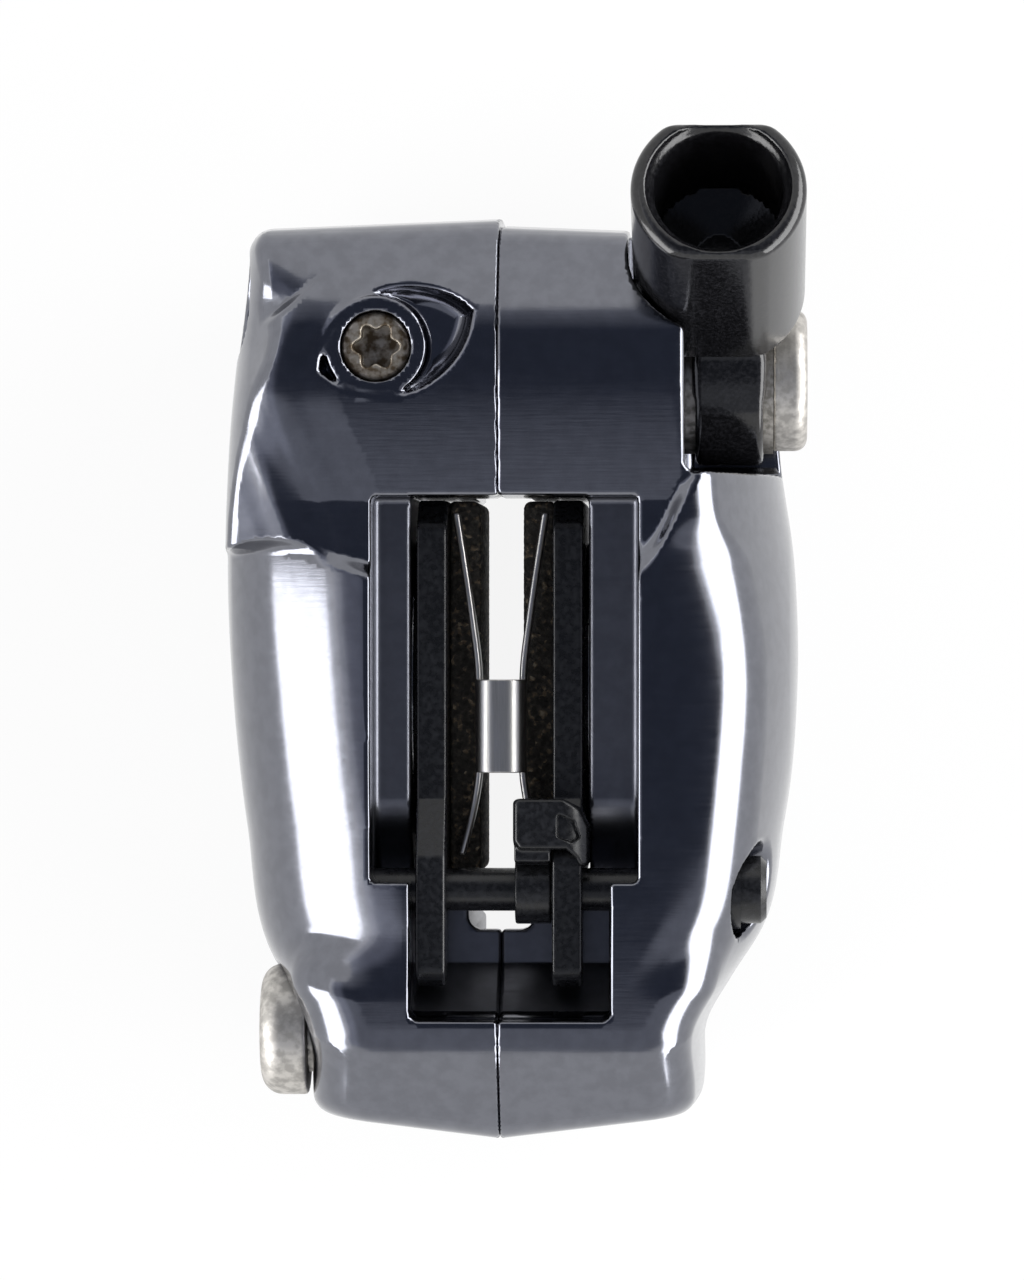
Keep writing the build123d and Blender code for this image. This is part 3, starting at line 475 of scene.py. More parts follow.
def bore_cut(u, y, z):
    """The piston's blind bore and its seal groove, which stays clear of the window."""
    bore = rod_x(u, y, z, *PISTON, 10.55, 4.0, 16.75, 0.4)
    groove = rod_x(u, y, z, *PISTON, 12.35, 9.6, 11.8)
    return np.minimum(bore, np.maximum(groove, -np.maximum(24.5 - z, u - 10.05)))


def bleed_bowl(u, y, z):
    """The eye-shaped bowl round the bleed boss: two round walls that meet at its corners."""
    tilt = math.radians(21.4)
    du, dy = u - 7.0, y - 24.1
    lengthwise = dy * math.sin(tilt) - du * math.cos(tilt)
    sideways = dy * math.cos(tilt) + du * math.sin(tilt)
    return both(np.hypot(lengthwise, np.abs(sideways) + 2.6) - 6.25, 27.9 - z, 1.5)


def inner_half(x, y, z):
    """The half with the bleed port and the seats of the body bolts' heads."""
    u = -x
    rim = bpy.context.scene.caliper_body.rim
    form = cut(outer_form(u, y, z, INNER), bleed_bowl(u, y, z), 0.4)
    boss = rod_z(u, y, z, *BLEED, 3.5, 20.0, 30.1, 0.25)
    form = join(form, boss, 0.5)
    form = cut(form, window_cut(u, y, z, INNER), rim)
    form = cut(form, bore_cut(u, y, z), 0.2)
    for at_y, seat in BOLTS:
        form = cut(form, rod_x(u, y, z, at_y, BOLT_Z, 4.8, seat, 26.0), rim)
        form = cut(form, rod_x(u, y, z, at_y, BOLT_Z, 3.05, -1.0, 20.0), 0.1)
    form = cut(form, rod_x(u, y, z, *PIN, PIN_HOLE, -1.0, 10.63), 0.12)
    form = cut(form, rod_z(u, y, z, *BLEED, 2.45, 27.6, 40.0), 0.12)
    form = cut(form, rod_z(u, y, z, *BLEED, 1.93, 24.4, 28.0), 0.05)
    passage_seal = rod_x(u, y, z, 20.2, 25.4, 2.65, -1.0, 0.8)
    return cut(form, passage_seal, 0.08)


TUBE_TILT = math.radians(23.0)
TUBE_MOUTH = (34.3, 37.0)
TUBE_X = 15.3


def tube_axes(y, z):
    """Distance back from the hose tube's mouth, and across it in its middle plane."""
    dy, dz = y - TUBE_MOUTH[0], z - TUBE_MOUTH[1]
    back = -dy * math.sin(TUBE_TILT) - dz * math.cos(TUBE_TILT)
    across = dy * math.cos(TUBE_TILT) - dz * math.sin(TUBE_TILT)
    return back, across


def tube_point(back, across):
    """The Y and Z of a point in the hose tube's middle plane."""
    y = TUBE_MOUTH[0] - back * math.sin(TUBE_TILT) + across * math.cos(TUBE_TILT)
    z = TUBE_MOUTH[1] - back * math.cos(TUBE_TILT) - across * math.sin(TUBE_TILT)
    return y, z


def outer_half(u, y, z):
    """The half with the hose fitting's seat, the pin head's recess and the frame bolts' holes."""
    rim = bpy.context.scene.caliper_body.rim
    form = outer_form(u, y, z, OUTER)
    seat = both(both(15.1 - y, 12.9 - u, 0.8), SEAT_FLOOR - z, 0.6)
    form = cut(form, seat, rim)
    # Room for the hose tube beside its swivel
    back, across = tube_axes(y, z)
    beside = np.hypot(np.minimum(u - TUBE_X, 0), np.minimum(across, 0)) - 6.3
    swept = both(both(beside, np.minimum(back - 17.0, -across - 0.5), 0.6), SEAT_FLOOR - z, 0.6)
    swept = both(swept, 6.65 - np.hypot(y - BANJO[0], z - BANJO[1]), 0.6)
    form = cut(form, swept, 0.3)
    form = cut(form, window_cut(u, y, z, OUTER), rim)
    form = cut(form, bore_cut(u, y, z), 0.2)
    for at_y, _ in BOLTS:
        form = cut(form, rod_x(u, y, z, at_y, BOLT_Z, BOLT_HOLE, -1.0, 8.6), 0.1)
    form = cut(form, rod_x(u, y, z, *PIN, PIN_HOLE, -1.0, 17.0), 0.12)
    form = cut(form, rod_x(u, y, z, *PIN, 3.3, 15.6, 27.0, 0.2), 0.5)
    form = cut(form, rod_x(u, y, z, *BANJO, BOLT_HOLE, 4.0, 14.0), 0.15)
    for frame_bolt_y in (-17.0, 17.0):
        form = cut(form, rod_z(u, y, z, -SHIFT_X, frame_bolt_y, 2.1, -1.0, 8.5), 0.2)
    return form


# The hose fitting, the bolts and the bleed screw


def banjo_fitting(x, y, z):
    """The eye round its bolt, a short neck, and the tilted tube with two flats and its port."""
    back, across = tube_axes(y, z)
    u = x - TUBE_X
    radius = np.hypot(u, across)
    tube = both(radius - 6.0, np.abs(across + 0.2) - 5.12, 0.45)
    tube = both(both(tube, -back, 0.85), back - 16.4, 0.5)
    thickness = np.abs(x - 16.0) - 2.4
    eye = both(np.hypot(y - BANJO[0], z - BANJO[1]) - 6.0, thickness, 0.45)
    low, high = -3.3, 3.3
    corners = [(21.0, 22.0), tube_point(16.2, low), tube_point(14.0, low)]
    corners += [tube_point(14.0, high), tube_point(16.2, high), (27.0, 16.6)]
    neck = both(polygon(y, z, corners) - 0.4, thickness, 0.45)
    form = join(tube, join(eye, neck, 0.8), 0.7)
    port_r, port_depth = 4.4, 9.1
    port = both(radius - port_r - 0.55 * step(1.1, 0.1, back), back - port_depth, 0.2)
    cone = np.maximum((radius - port_r + (back - port_depth) * 1.9) * 0.46, np.abs(back - 9.8) - 0.8)
    form = cut(form, np.minimum(port, cone), 0.22)
    return cut(form, rod_x(x, y, z, *BANJO, 3.05, 13.0, 19.0), 0.2)


def banjo_bolt(x, y, z):
    """The bolt through the eye, with a domed head and a hexagon socket."""
    head = turned(x, y, z, *BANJO, 5.0, 19.1, 21.5, 0.15, 0.9)
    shank = turned(x, y, z, *BANJO, 3.0, 4.6, 19.5, 0.4, 0.1)
    socket = np.maximum(hexagon(y - BANJO[0], z - BANJO[1], 4.0), 19.8 - x)
    return cut(join(head, shank, 0.1), socket, 0.2)


def body_bolts(x, y, z):
    """Both body bolts, with round-edged heads."""
    form = np.inf
    for at_y, out in BOLTS:
        seat = -out
        head = turned(x, y, z, at_y, BOLT_Z, 4.6, seat - 3.3, seat, 1.5, 0.25)
        shank = turned(x, y, z, at_y, BOLT_Z, 3.0, seat - 0.4, 8.3, 0.1, 0.5)
        socket = np.maximum(hexagon(y - at_y, z - BOLT_Z, 5.0), x - seat + 1.1)
        form = np.minimum(form, cut(join(head, shank, 0.1), socket, 0.3))
    return form


def bleed_screw(x, y, z):
    """The bleed screw: a round head with a star socket over its shank."""
    u, v = x + BLEED[0], y - BLEED[1]
    radius = np.hypot(u, v)
    head = both(both(radius - 2.4, z - 29.7, 0.5), 27.6 - z, 0.1)
    shank = both(radius - 1.9, np.abs(z - 26.4) - 1.5, 0.1)
    form = join(head, shank, 0.05)
    form = cut(form, np.maximum(1.1 - radius, np.abs(z - 26.5) - 0.55), 0.05)
    star = radius - 1.4 - 0.22 * np.cos(6 * np.arctan2(v, u))
    return cut(form, np.maximum(star * 0.8, 28.2 - z), 0.15)


# The pads and their springs


def pad_plate(u, y, z):
    """A stamped backing plate with rounded edges: a block with a long tab for the pin."""
    corners = [
        (12.3, 22.2), (12.3, 6.8), (10.0, 4.3), (5.0, 3.7), (0.0, 3.5), (-5.0, 3.7), (-10.0, 4.3),
        (-12.3, 6.8), (-12.3, 23.5), (-18.6, 24.4), (-19.8, 25.4), (-19.4, 26.4), (-12.0, 26.4),
        (-7.8, 24.3), (10.9, 24.3),
    ]
    face = polygon(y, z, corners) - 0.9
    plate = both(face, np.abs(u - 4.75) - 1.05, 0.22)
    return cut(plate, np.hypot(y - PIN[0], z - PIN[1]) - 1.6, 0.2)


def pad_lining(u, y, z):
    """A friction block with crumbled edges and slanted ends."""
    coarse = np.sin(7.1 * y + 2.0 * u) * np.sin(6.3 * z + 1.0)
    grains = coarse + np.sin(13.7 * y + 0.6) * np.sin(12.1 * z + 5.0 * u)
    block = both(both(np.abs(y) - 13.2, np.abs(z - 12.3) - 7.85, 0.5), np.abs(u - 2.6) - 1.1, 0.3)
    slope = (np.abs(y) - 12.9 - (u - 1.5)) / math.sqrt(2)
    block = both(block, slope, 0.2)
    return block + np.maximum(0.05 * grains * step(3.6, 3.2, u), 0)


def pad_spring(x, y, z):
    """The stainless spring: a leaf along each pad and a flat-topped bridge over the rotor."""
    u = np.abs(x)
    line = along(((12.3, 3.12), (9.0, 2.6), (5.0, 2.02), (1.5, 1.6), (-2.0, 1.55), (-6.5, 1.6),
                  (-9.0, 2.05), (-11.6, 2.75)), y)
    leaf = both(np.abs(u - line) - 0.25, np.abs(z - 22.2) - 1.2, 0.25)
    leaf = both(leaf, np.abs(y - 0.35) - 11.95, 0.1)
    outer = both(u - 1.725, z - 25.6, 1.4)
    hollow = both(u - 1.375, z - 25.25, 1.05)
    bridge = np.maximum(both(outer, -hollow, 0.08), 21.2 - z)
    bridge = both(bridge, np.abs(y + 2.6) - 3.25, 0.08)
    return np.minimum(leaf, bridge)


def pad_clip(x, y, z):
    """The dark clip: an eye on the pin, a leg, and a flap that curls down over the outer pad."""
    strip = np.abs(x - 2.35) - 1.25
    eye = both(np.abs(np.hypot(y - PIN[0], z - PIN[1]) - 2.0) - 0.4, strip, 0.15)
    leg = polygon(y, z, [(-12.2, 24.6), (-11.9, 24.2), (-8.0, 26.1), (-8.0, 27.6), (-11.8, 27.6)]) - 0.2
    leg = both(leg, strip, 0.15)
    plan = [
        (1.5, -8.0), (4.4, -8.0), (5.4, -8.5), (5.95, -9.6), (5.95, -11.9), (5.75, -11.5),
        (4.9, -10.7), (1.7, -10.7), (1.5, -10.4),
    ]
    crown = 28.3 - 0.22 * np.maximum(x - 4.2, 0) ** 2
    flap = both(polygon(x, y, plan) - 0.4, z - crown, 0.3)
    flap = both(flap, crown - 0.85 - z, 0.15)
    hollow = polygon(x, y, [(4.3, -8.9), (5.1, -9.3), (5.4, -10.2), (5.1, -10.4), (4.3, -10.1)]) - 0.2
    flap = cut(flap, np.maximum(hollow, crown - 0.4 - z), 0.15)
    return join(np.minimum(eye, leg), flap, 0.3)


# Finishes


def new_group(name, inputs, outputs):
    """A shader node group with named sockets."""
    group = bpy.data.node_groups.new(name, "ShaderNodeTree")
    for label, kind, value in inputs:
        socket = group.interface.new_socket(label, in_out="INPUT", socket_type=kind)
        socket.default_value = value
    for label, kind in outputs:
        group.interface.new_socket(label, in_out="OUTPUT", socket_type=kind)
    return group


def fill(tree, node, inputs):
    """Give a node's inputs their values, or link them to other nodes' outputs."""
    for key, value in inputs.items():
        if isinstance(value, bpy.types.NodeSocket):
            tree.links.new(value, node.inputs[key])
        else:
            node.inputs[key].default_value = value


def add_node(tree, kind, inputs=None, **values):
    """A node with its properties set, and its inputs filled or linked."""
    node = tree.nodes.new(kind)
    for key, value in values.items():
        setattr(node, key, value)
    fill(tree, node, inputs or {})
    return node


def maths(tree, operation, *values):
    """The result of a math node over numbers and sockets."""
    return add_node(tree, "ShaderNodeMath", dict(enumerate(values)), operation=operation).outputs[0]


def make_grain():
    """Fine even grain, as colour variation and as a height."""
    group = new_group(
        "Fine grain",
        [("Scale", "NodeSocketFloat", 4000.0), ("Detail", "NodeSocketFloat", 6.0)],
        [("Mask", "NodeSocketFloat"), ("Height", "NodeSocketFloat")],
    )
    ins = add_node(group, "NodeGroupInput")
    outs = add_node(group, "NodeGroupOutput")
    place = add_node(group, "ShaderNodeTexCoord")
    fine = add_node(
        group, "ShaderNodeTexNoise",
        {"Vector": place.outputs["Object"], "Scale": ins.outputs["Scale"], "Detail": ins.outputs["Detail"]},
    )
    spots = add_node(
        group, "ShaderNodeTexVoronoi", {"Vector": place.outputs["Object"], "Scale": ins.outputs["Scale"]}
    )
    spread = add_node(
        group, "ShaderNodeMapRange", {"Value": fine.outputs["Fac"], "From Min": 0.3, "From Max": 0.7}
    )
    height = maths(group, "ADD", spread.outputs["Result"], spots.outputs["Distance"])
    fill(group, outs, {"Mask": spread.outputs["Result"], "Height": height})
    return group


def make_brushing():
    """Fine lines drawn along one direction, as a mask."""
    group = new_group(
        "Brushed lines",
        [("Stretch", "NodeSocketVector", (1, 1, 1)), ("Scale", "NodeSocketFloat", 1000.0)],
        [("Mask", "NodeSocketFloat")],
    )
    ins = add_node(group, "NodeGroupInput")
    outs = add_node(group, "NodeGroupOutput")
    place = add_node(group, "ShaderNodeTexCoord")
    scaled = add_node(
        group, "ShaderNodeVectorMath", {0: place.outputs["Object"], 1: ins.outputs["Stretch"]},
        operation="MULTIPLY",
    )
    lines = add_node(
        group, "ShaderNodeTexNoise",
        {"Vector": scaled.outputs[0], "Scale": ins.outputs["Scale"], "Detail": 3.0, "Roughness": 0.6},
    )
    fill(group, outs, {"Mask": lines.outputs["Fac"]})
    return group


GROUPS = {"Fine grain": make_grain, "Brushed lines": make_brushing}


def place_group(tree, name, **values):
    """A copy of a shared group in a material, made the first time it is asked for."""
    group = bpy.data.node_groups.get(name) or GROUPS[name]()
    node = add_node(tree, "ShaderNodeGroup")
    node.node_tree = group
    for key, value in values.items():
        node.inputs[key.capitalize()].default_value = value
    return node


def ramp(tree, value, stops):
    """A colour ramp over value, with (place, colour) stops."""
    node = add_node(tree, "ShaderNodeValToRGB", {"Fac": value})
    elements = node.color_ramp.elements
    while len(elements) < len(stops):
        elements.new(0.5)
    for element, (spot, colour) in zip(elements, stops):
        element.position = spot
        element.color = (*colour, 1)
    return node.outputs["Color"]


def between(tree, value, low, high):
    """value from 0 to 1 spread from low to high."""
    node = add_node(tree, "ShaderNodeMapRange", {"Value": value, "To Min": low, "To Max": high})
    return node.outputs["Result"]


def tint(colour, factor):
    """A colour made lighter or darker."""
    return tuple(min(1.0, c * factor) for c in colour)


def blank_material():
    """A material with its node tree and its Principled shader."""
    material = bpy.data.materials.new("finish")
    material.use_nodes = True
    shader = material.node_tree.nodes["Principled BSDF"]
    return material, material.node_tree, shader


def bump(tree, shader, height, strength, distance):
    """A bump on the shader's normal."""
    node = add_node(tree, "ShaderNodeBump", {"Height": height, "Strength": strength, "Distance": distance})
    fill(tree, shader, {"Normal": node.outputs["Normal"]})


def window_mask(tree):
    """1 on the machined faces inside the pads' window and 0 on the polished outside."""
    half_width, middle_y, half_length, mouth_z = 9.75, -4.9, 18.2, 26.3
    place = add_node(tree, "ShaderNodeTexCoord")
    split = add_node(tree, "ShaderNodeSeparateXYZ", {"Vector": place.outputs["Object"]})
    across = maths(tree, "COMPARE", split.outputs["X"], SHIFT_X * MM, half_width * MM)
    lengthwise = maths(tree, "COMPARE", split.outputs["Y"], middle_y * MM, half_length * MM)
    deep = maths(tree, "LESS_THAN", split.outputs["Z"], mouth_z * MM)
    return maths(tree, "MULTIPLY", maths(tree, "MULTIPLY", across, lengthwise), deep)


def anodised(settings):
    """Glossy dark anodised aluminium with fine finishing lines across the bulges."""
    material, tree, shader = blank_material()
    colour = tuple(settings.colour)
    grain = place_group(tree, "Fine grain", scale=900.0, detail=5.0)
    lines = place_group(tree, "Brushed lines", stretch=(0.06, 1.0, 0.06), scale=5200.0)
    base = ramp(tree, grain.outputs["Mask"], [(0.2, tint(colour, 0.94)), (0.8, tint(colour, 1.06))])
    polished = between(tree, lines.outputs["Mask"], settings.roughness - 0.04, settings.roughness + 0.07)
    inside = window_mask(tree)
    rough = maths(tree, "ADD", polished, maths(tree, "MULTIPLY", inside, 0.2))
    coat = between(tree, inside, 0.2, 0.0)
    fill(tree, shader, {"Base Color": base, "Roughness": rough, "Metallic": 1.0})
    fill(tree, shader, {"Coat Weight": coat, "Coat Roughness": 0.08})
    bump(tree, shader, lines.outputs["Mask"], 0.12, 0.00002)
    return material


def coated(colour, roughness, spread, speck=2600.0, shine=0.5):
    """Black coated steel or a glossy black fitting, with fine dust and handling marks."""
    material, tree, shader = blank_material()
    grain = place_group(tree, "Fine grain", scale=speck, detail=6.0)
    base = ramp(tree, grain.outputs["Mask"], [(0.35, tint(colour, 0.8)), (0.9, tint(colour, 2.2))])
    rough = between(tree, grain.outputs["Mask"], roughness, roughness + spread)
    fill(tree, shader, {"Base Color": base, "Roughness": rough, "Specular IOR Level": shine})
    bump(tree, shader, grain.outputs["Height"], 0.1, 0.00003)
    return material


def metal(dark, light, roughness, scale, spread=0.15, strength=0.25, stretch=None):
    """Bare metal with mottling or brushed lines."""
    material, tree, shader = blank_material()
    if stretch:
        pattern = place_group(tree, "Brushed lines", stretch=stretch, scale=scale)
    else:
        pattern = place_group(tree, "Fine grain", scale=scale, detail=6.0)
    mask = pattern.outputs["Mask"]
    base = ramp(tree, mask, [(0.25, dark), (0.75, light)])
    rough = between(tree, mask, roughness + spread, roughness)
    fill(tree, shader, {"Base Color": base, "Roughness": rough, "Metallic": 1.0})
    bump(tree, shader, mask, strength, 0.00003)
    return material


def friction(settings):
    """Sintered friction material: dark grains with brown and bronze specks."""
    material, tree, shader = blank_material()
    colour = tuple(settings.lining)
    place = add_node(tree, "ShaderNodeTexCoord")
    cells = add_node(tree, "ShaderNodeTexVoronoi", {"Vector": place.outputs["Object"], "Scale": 3200.0})
    grain = place_group(tree, "Fine grain", scale=2200.0, detail=8.0)
    tone = add_node(tree, "ShaderNodeSeparateColor", {"Color": cells.outputs["Color"]})
    blend = maths(tree, "MULTIPLY", tone.outputs["Red"], grain.outputs["Mask"])
    brown, bronze = (0.2, 0.15, 0.1), (0.42, 0.36, 0.27)
    base = ramp(tree, blend, [(0.05, tint(colour, 0.35)), (0.4, colour), (0.62, brown), (0.85, bronze)])
    rough = between(tree, grain.outputs["Mask"], 0.95, 0.6)
    bright = between(tree, blend, 0.0, 0.7)
    fill(tree, shader, {"Base Color": base, "Roughness": rough, "Metallic": bright})
    bump(tree, shader, grain.outputs["Height"], 0.8, 0.00012)
    return material


def moulded(colour, roughness, scale):
    """Rubber or a moulded part with a fine grain."""
    material, tree, shader = blank_material()
    grain = place_group(tree, "Fine grain", scale=scale, detail=4.0)
    base = ramp(tree, grain.outputs["Mask"], [(0.2, tint(colour, 0.75)), (0.8, tint(colour, 1.35))])
    rough = between(tree, grain.outputs["Mask"], roughness - 0.1, roughness)
    fill(tree, shader, {"Base Color": base, "Roughness": rough})
    bump(tree, shader, grain.outputs["Height"], 0.3, 0.00004)
    return material


made_finishes = {}


def finish(slot):
    """The material of a slot, made once. Its name keeps it apart from the frame's plain one."""
    if slot in made_finishes:
        return made_finishes[slot]
    scene = bpy.context.scene
    black = tuple(scene.caliper_pads.steel)
    glossy = tuple(scene.caliper_fitting.black)
    silver = tuple(scene.caliper_fitting.silver)
    drawn = (1.0, 0.05, 1.0)
    makers = {
        "anodised_body": lambda: anodised(scene.caliper_body),
        "piston_steel": lambda: metal((0.42, 0.42, 0.43), (0.62, 0.62, 0.63), 0.22, 2400.0),
        "phenolic": lambda: moulded((0.09, 0.06, 0.045), 0.6, 3000.0),
        "seal_rubber": lambda: moulded((0.02, 0.02, 0.02), 0.7, 2600.0),
        "black_steel": lambda: coated(black, 0.24, 0.1),
        "friction_material": lambda: friction(scene.caliper_pads),
        "spring_steel": lambda: metal((0.44, 0.43, 0.41), (0.72, 0.7, 0.67), 0.24, 4200.0, stretch=drawn),
        "silver_bolt": lambda: metal(tint(silver, 0.72), tint(silver, 1.1), 0.42, 1500.0),
        "banjo_black": lambda: coated(glossy, 0.13, 0.07, speck=3600.0, shine=0.55),
        "washer_metal": lambda: metal((0.2, 0.19, 0.17), (0.42, 0.4, 0.37), 0.4, 1800.0),
        "worn_steel": lambda: metal((0.1, 0.075, 0.05), (0.46, 0.42, 0.36), 0.34, 1300.0, 0.3, strength=0.5),
    }
    made_finishes[slot] = makers[slot]()
    made_finishes[slot].name = f"finish_{slot}"
    return made_finishes[slot]


def dress(piece, slot):
    """A new piece takes the finish of a material slot."""
    piece.data.materials.clear()
    piece.data.materials.append(finish(slot))


def slot_of(node):
    """The material slot that the record gives a node."""
    for part in frame["record"]["subparts"]:
        if part["node"] == node:
            return part["material_slot"]
    raise ValueError(f"the record has no node {node}")


def body_of(node):
    """The body that the record puts a node on."""
    for body, nodes in frame["record"]["behaviour"]["bodies"].items():
        if node in nodes:
            return body
    raise ValueError(f"no body carries {node}")


def refine(node, form, low, high, cell, keep=0.6):
    """Sculpt the finer piece that stands for a CAD node, between two corners in drawing lengths."""
    piece = sculpt(f"fine_{node}", form, low, high, cell, keep, body_of(node))
    dress(piece, slot_of(node))
    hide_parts(node)
    return piece


def repaint(*nodes):
    """CAD nodes that keep their shape take their finish."""
    for node in nodes:
        piece = frame["nodes"][node]
        material = finish(slot_of(node))
        if not piece.material_slots:
            piece.data.materials.append(material)
        for place in piece.material_slots:
            place.material = material


# Operators: one for each piece or group of like pieces, and one for the stage


class MakeBodyHalves(bpy.types.Operator):
    """Sculpt both anodised halves of the body"""

    bl_idname = "caliper.body_halves"
    bl_label = "Body halves"

    def execute(self, context):
        settings = context.scene.caliper_body
        size = {"cell": settings.cell, "keep": settings.keep}
        refine("caliper_half_inner", inner_half, (-20.55, -32.6, -0.6), (0.6, 33.6, 31.4), **size)
        refine("caliper_half_outer", outer_half, (-0.45, -32.6, -0.6), (22.0, 33.2, 31.4), **size)
        return {"FINISHED"}


class MakePads(bpy.types.Operator):
    """Sculpt the backing plates and the friction blocks of both pads"""

    bl_idname = "caliper.pads"
    bl_label = "Pads"

    def execute(self, context):
        cell = context.scene.caliper_fitting.cell
        kinds = (
            ("pad_plate", pad_plate, (3.2, -21.4, 2.1), (6.3, 13.8, 27.9)),
            ("pad_lining", pad_lining, (1.1, -13.4, 3.9), (4.1, 13.4, 20.7)),
        )
        for side, word in ((INNER, "inner"), (OUTER, "outer")):
            for name, form, low, high in kinds:
                near, far = sorted((side * low[0], side * high[0]))

                def mirrored(x, y, z, side=side, form=form):
                    return form(side * x, y, z)

                refine(f"{name}_{word}", mirrored, (near, *low[1:]), (far, *high[1:]), cell)
        return {"FINISHED"}


class MakeSprings(bpy.types.Operator):
    """Sculpt the stainless pad spring and the dark clip"""

    bl_idname = "caliper.springs"
    bl_label = "Springs"

    def execute(self, context):
        cell = context.scene.caliper_fitting.cell
        spring = refine("pad_spring", pad_spring, (-3.7, -12.0, 20.6), (3.7, 12.7, 26.0), cell * 0.5)
        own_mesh(spring)
        refine("pad_clip", pad_clip, (0.7, -16.8, 21.8), (6.8, -7.2, 28.7), cell * 0.6)
        return {"FINISHED"}


class MakeHoseFitting(bpy.types.Operator):
    """Sculpt the banjo fitting and its bolt"""

    bl_idname = "caliper.hose_fitting"
    bl_label = "Hose fitting"

    def execute(self, context):
        cell = context.scene.caliper_fitting.cell
        refine("banjo_fitting", banjo_fitting, (9.0, 15.4, 10.6), (21.7, 39.3, 39.3), cell)
        refine("banjo_bolt", banjo_bolt, (4.3, 16.5, 11.7), (21.9, 27.1, 22.3), cell)
        return {"FINISHED"}


class MakeScrews(bpy.types.Operator):
    """Sculpt the body bolts and the bleed screw"""

    bl_idname = "caliper.screws"
    bl_label = "Bolts and bleed screw"

    def execute(self, context):
        cell = context.scene.caliper_fitting.cell
        refine("body_bolts", body_bolts, (-17.2, -28.9, 15.7), (8.7, 32.1, 25.5), cell)
        refine("bleed_screw", bleed_screw, (-11.1, 21.0, 24.6), (-5.7, 26.4, 30.1), cell * 0.5, 1.0)
        return {"FINISHED"}


class DressKeptNodes(bpy.types.Operator):
    """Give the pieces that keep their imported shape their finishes"""

    bl_idname = "caliper.kept_nodes"
    bl_label = "Kept pieces"

    def execute(self, context):
        repaint(
            "piston_inner", "piston_outer", "piston_insert_inner", "piston_insert_outer",
            "piston_seal_inner", "piston_seal_outer", "pad_pin", "transfer_seal",
            "banjo_washer_inner", "banjo_washer_outer", "bleed_seal",
        )
        return {"FINISHED"}


class MakeStage(bpy.types.Operator):
    """Set up the pale floor, the softboxes and the camera"""

    bl_idname = "caliper.stage"
    bl_label = "Stage and camera"

    def execute(self, context):
        settings = context.scene.caliper_stage
        make_floor(settings)
        make_world()
        make_softboxes(settings.softbox)
        make_dark_card()
        make_camera(settings.distance)
        return {"FINISHED"}


def plane(name, width, depth, at):
    """A level rectangle with its middle at `at`."""
    mesh = bpy.data.meshes.new(name)
    build = bmesh.new()
    bmesh.ops.create_grid(build, x_segments=1, y_segments=1, size=0.5)
    build.to_mesh(mesh)
    build.free()
    piece = bpy.data.objects.new(name, mesh)
    bpy.context.collection.objects.link(piece)
    piece.scale = (width, depth, 1)
    piece.location = at
    return piece


def background_seen(tree):
    """1 for rays that should see the white background: from the camera, gloss and glass."""
    path = add_node(tree, "ShaderNodeLightPath")
    direct = maths(tree, "MAXIMUM", path.outputs["Is Camera Ray"], path.outputs["Is Glossy Ray"])
    return maths(tree, "MAXIMUM", direct, path.outputs["Is Transmission Ray"])


def empty_material(name):
    """A material with nothing in its node tree, and that tree."""
    material = bpy.data.materials.new(name)
    material.use_nodes = True
    material.node_tree.nodes.clear()
    return material, material.node_tree


def make_floor(settings):
    """A plain pale floor under the caliper that keeps its shadow."""
    span, below, white_share = 4.0, -0.0006, 0.9
    floor = plane("floor", span, span, (SHIFT_X * MM, 0, below))
    material, tree = empty_material("pale_floor")
    matte = add_node(tree, "ShaderNodeBsdfDiffuse", {"Color": (*settings.floor, 1)})
    glow = add_node(tree, "ShaderNodeEmission", {"Color": (1, 1, 1, 1), "Strength": 1.0})
    seen = maths(tree, "MULTIPLY", background_seen(tree), white_share)
    shown = add_node(tree, "ShaderNodeMixShader", {0: seen, 1: matte.outputs[0], 2: glow.outputs[0]})
    add_node(tree, "ShaderNodeOutputMaterial", {"Surface": shown.outputs[0]})
    floor.data.materials.append(material)


def make_world():
    """A dim even light from all round that shows as white to the camera and in gloss."""
    world = bpy.data.worlds.new("studio")
    world.use_nodes = True
    bpy.context.scene.world = world
    tree = world.node_tree
    tree.nodes.clear()
    level = between(tree, background_seen(tree), 0.5, 1.0)
    light = add_node(tree, "ShaderNodeBackground", {"Color": (1, 1, 1, 1), "Strength": level})
    add_node(tree, "ShaderNodeOutputWorld", {"Surface": light.outputs[0]})


def make_softbox(name, at, aim, width, height, level):
    """A soft rectangular light of one radiance."""
    light = bpy.data.lights.new(name, "AREA")
    light.shape = "RECTANGLE"
    light.size = width
    light.size_y = height
    light.energy = level * math.pi * width * height
    lamp = bpy.data.objects.new(name, light)
    bpy.context.collection.objects.link(lamp)
    lamp.location = at
    lamp.rotation_euler = (Vector(aim) - Vector(at)).to_track_quat("-Z", "Y").to_euler()


def make_softboxes(level):
    """A softbox beside the pads on the left, a longer one on the right, and a dim one over the left."""
    middle = SHIFT_X * MM
    away, up, tall = 0.42, 0.185, 0.33
    for name, side, along_y, length in (
        ("softbox_left", -1, -0.224, 0.48),
        ("softbox_right", 1, 0.0, 0.95),
    ):
        at = (middle + side * away, along_y, up)
        make_softbox(name, at, (middle, along_y, up), length, tall, level)
    make_softbox("softbox_dim", (middle - 0.35, 0.0, 0.355), (middle, 0, 0.03), 0.9, 0.07, level * 0.1)


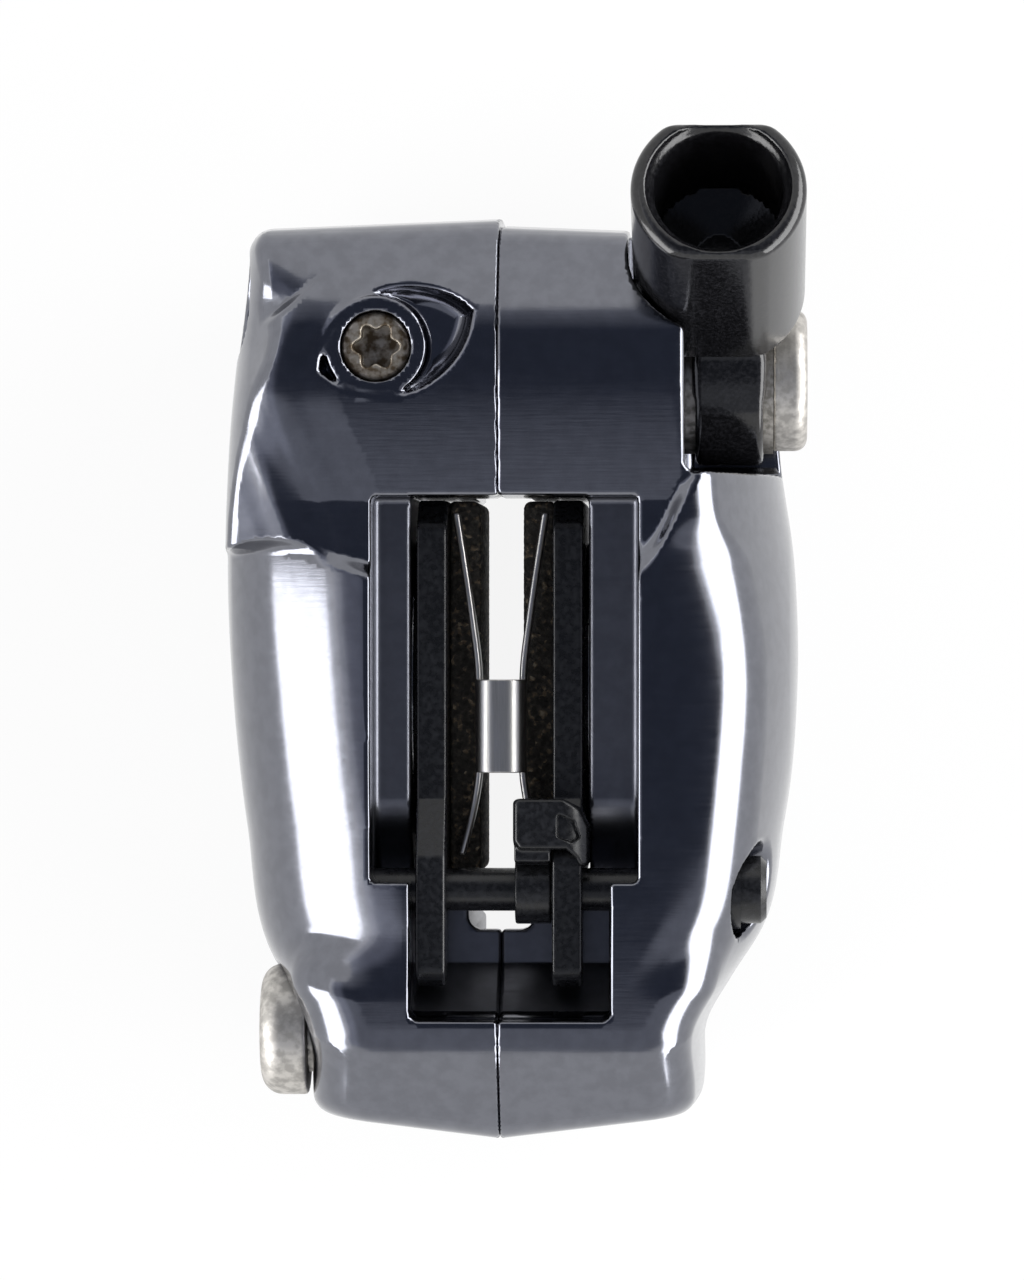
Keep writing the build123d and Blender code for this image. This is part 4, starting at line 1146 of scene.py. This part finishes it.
def make_dark_card():
    """A dim card before the lens, seen only in the gloss of the faces that look at it."""
    card = plane("dark_card", 0.8, 0.78, (SHIFT_X * MM, 0.0, 0.4))
    material, tree = empty_material("dim_card")
    place = add_node(tree, "ShaderNodeTexCoord")
    split = add_node(tree, "ShaderNodeSeparateXYZ", {"Vector": place.outputs["Object"]})
    dim, grey, edge, unlit = (0.07, 0.082, 0.118), (0.4, 0.42, 0.48), (0.28, 0.29, 0.34), (0.0, 0.0, 0.0)
    glows = []
    # Places on the card run from -0.5 to 0.5
    for axis, stops in (
        ("Y", [(0.0, grey), (0.385, grey), (0.41, dim), (0.72, dim), (1.0, grey)]),
        ("X", [(0.0, edge), (0.2, edge), (0.29, unlit)]),
    ):
        colour = ramp(tree, maths(tree, "ADD", split.outputs[axis], 0.5), stops)
        glows.append(add_node(tree, "ShaderNodeEmission", {"Color": colour, "Strength": 1.0}))
    light = add_node(tree, "ShaderNodeAddShader", {0: glows[0].outputs[0], 1: glows[1].outputs[0]})
    add_node(tree, "ShaderNodeOutputMaterial", {"Surface": light.outputs[0]})
    card.data.materials.append(material)
    card.visible_camera = False
    card.visible_shadow = False
    card.visible_diffuse = False


def make_camera(distance):
    """The camera over the pad window, a little to the hose side."""
    lens_side = math.radians(2.0)
    seen_height = 0.08832
    target = Vector(((1.03 + SHIFT_X) * MM, 3.41 * MM, 30 * MM))
    data = bpy.data.cameras.new("camera")
    data.sensor_fit = "AUTO"
    data.sensor_width = 36.0
    data.lens = data.sensor_width * distance / seen_height
    data.clip_start = 0.01
    data.clip_end = 10.0
    camera = bpy.data.objects.new("camera", data)
    bpy.context.collection.objects.link(camera)
    back = Vector((math.sin(lens_side), 0, math.cos(lens_side)))
    camera.location = target + back * distance
    camera.rotation_euler = (0, lens_side, 0)
    bpy.context.scene.camera = camera


class CaliperPanel(bpy.types.Panel):
    """The caliper's pieces and settings in the sidebar."""

    bl_idname = "VIEW3D_PT_caliper"
    bl_label = "Disc Brake Caliper"
    bl_space_type = "VIEW_3D"
    bl_region_type = "UI"
    bl_category = "Caliper"

    def draw(self, context):
        layout = self.layout
        for name in SETTINGS:
            box = layout.box()
            group = getattr(context.scene, name)
            for key in group.__annotations__:
                box.prop(group, key)
        for operator in OPERATORS:
            layout.operator(operator.bl_idname)


SETTINGS = {
    "caliper_body": CaliperBodySettings,
    "caliper_fitting": CaliperFittingSettings,
    "caliper_pads": CaliperPadSettings,
    "caliper_stage": CaliperStageSettings,
}
OPERATORS = (
    DressKeptNodes, MakeBodyHalves, MakePads, MakeSprings, MakeHoseFitting, MakeScrews, MakeStage,
)


def register():
    """Register the settings, the operators and the panel."""
    for name, group in SETTINGS.items():
        bpy.utils.register_class(group)
        setattr(bpy.types.Scene, name, bpy.props.PointerProperty(type=group))
    for operator in OPERATORS:
        bpy.utils.register_class(operator)
    bpy.utils.register_class(CaliperPanel)


def unregister():
    """Take everything out again."""
    bpy.utils.unregister_class(CaliperPanel)
    for operator in reversed(OPERATORS):
        bpy.utils.unregister_class(operator)
    for name, group in SETTINGS.items():
        delattr(bpy.types.Scene, name)
        bpy.utils.unregister_class(group)


def main():
    register()
    bpy.context.scene.view_settings.view_transform = "Standard"
    for operator in OPERATORS:
        group, name = operator.bl_idname.split(".")
        getattr(getattr(bpy.ops, group), name)()


if __name__ == "__main__":
    main()
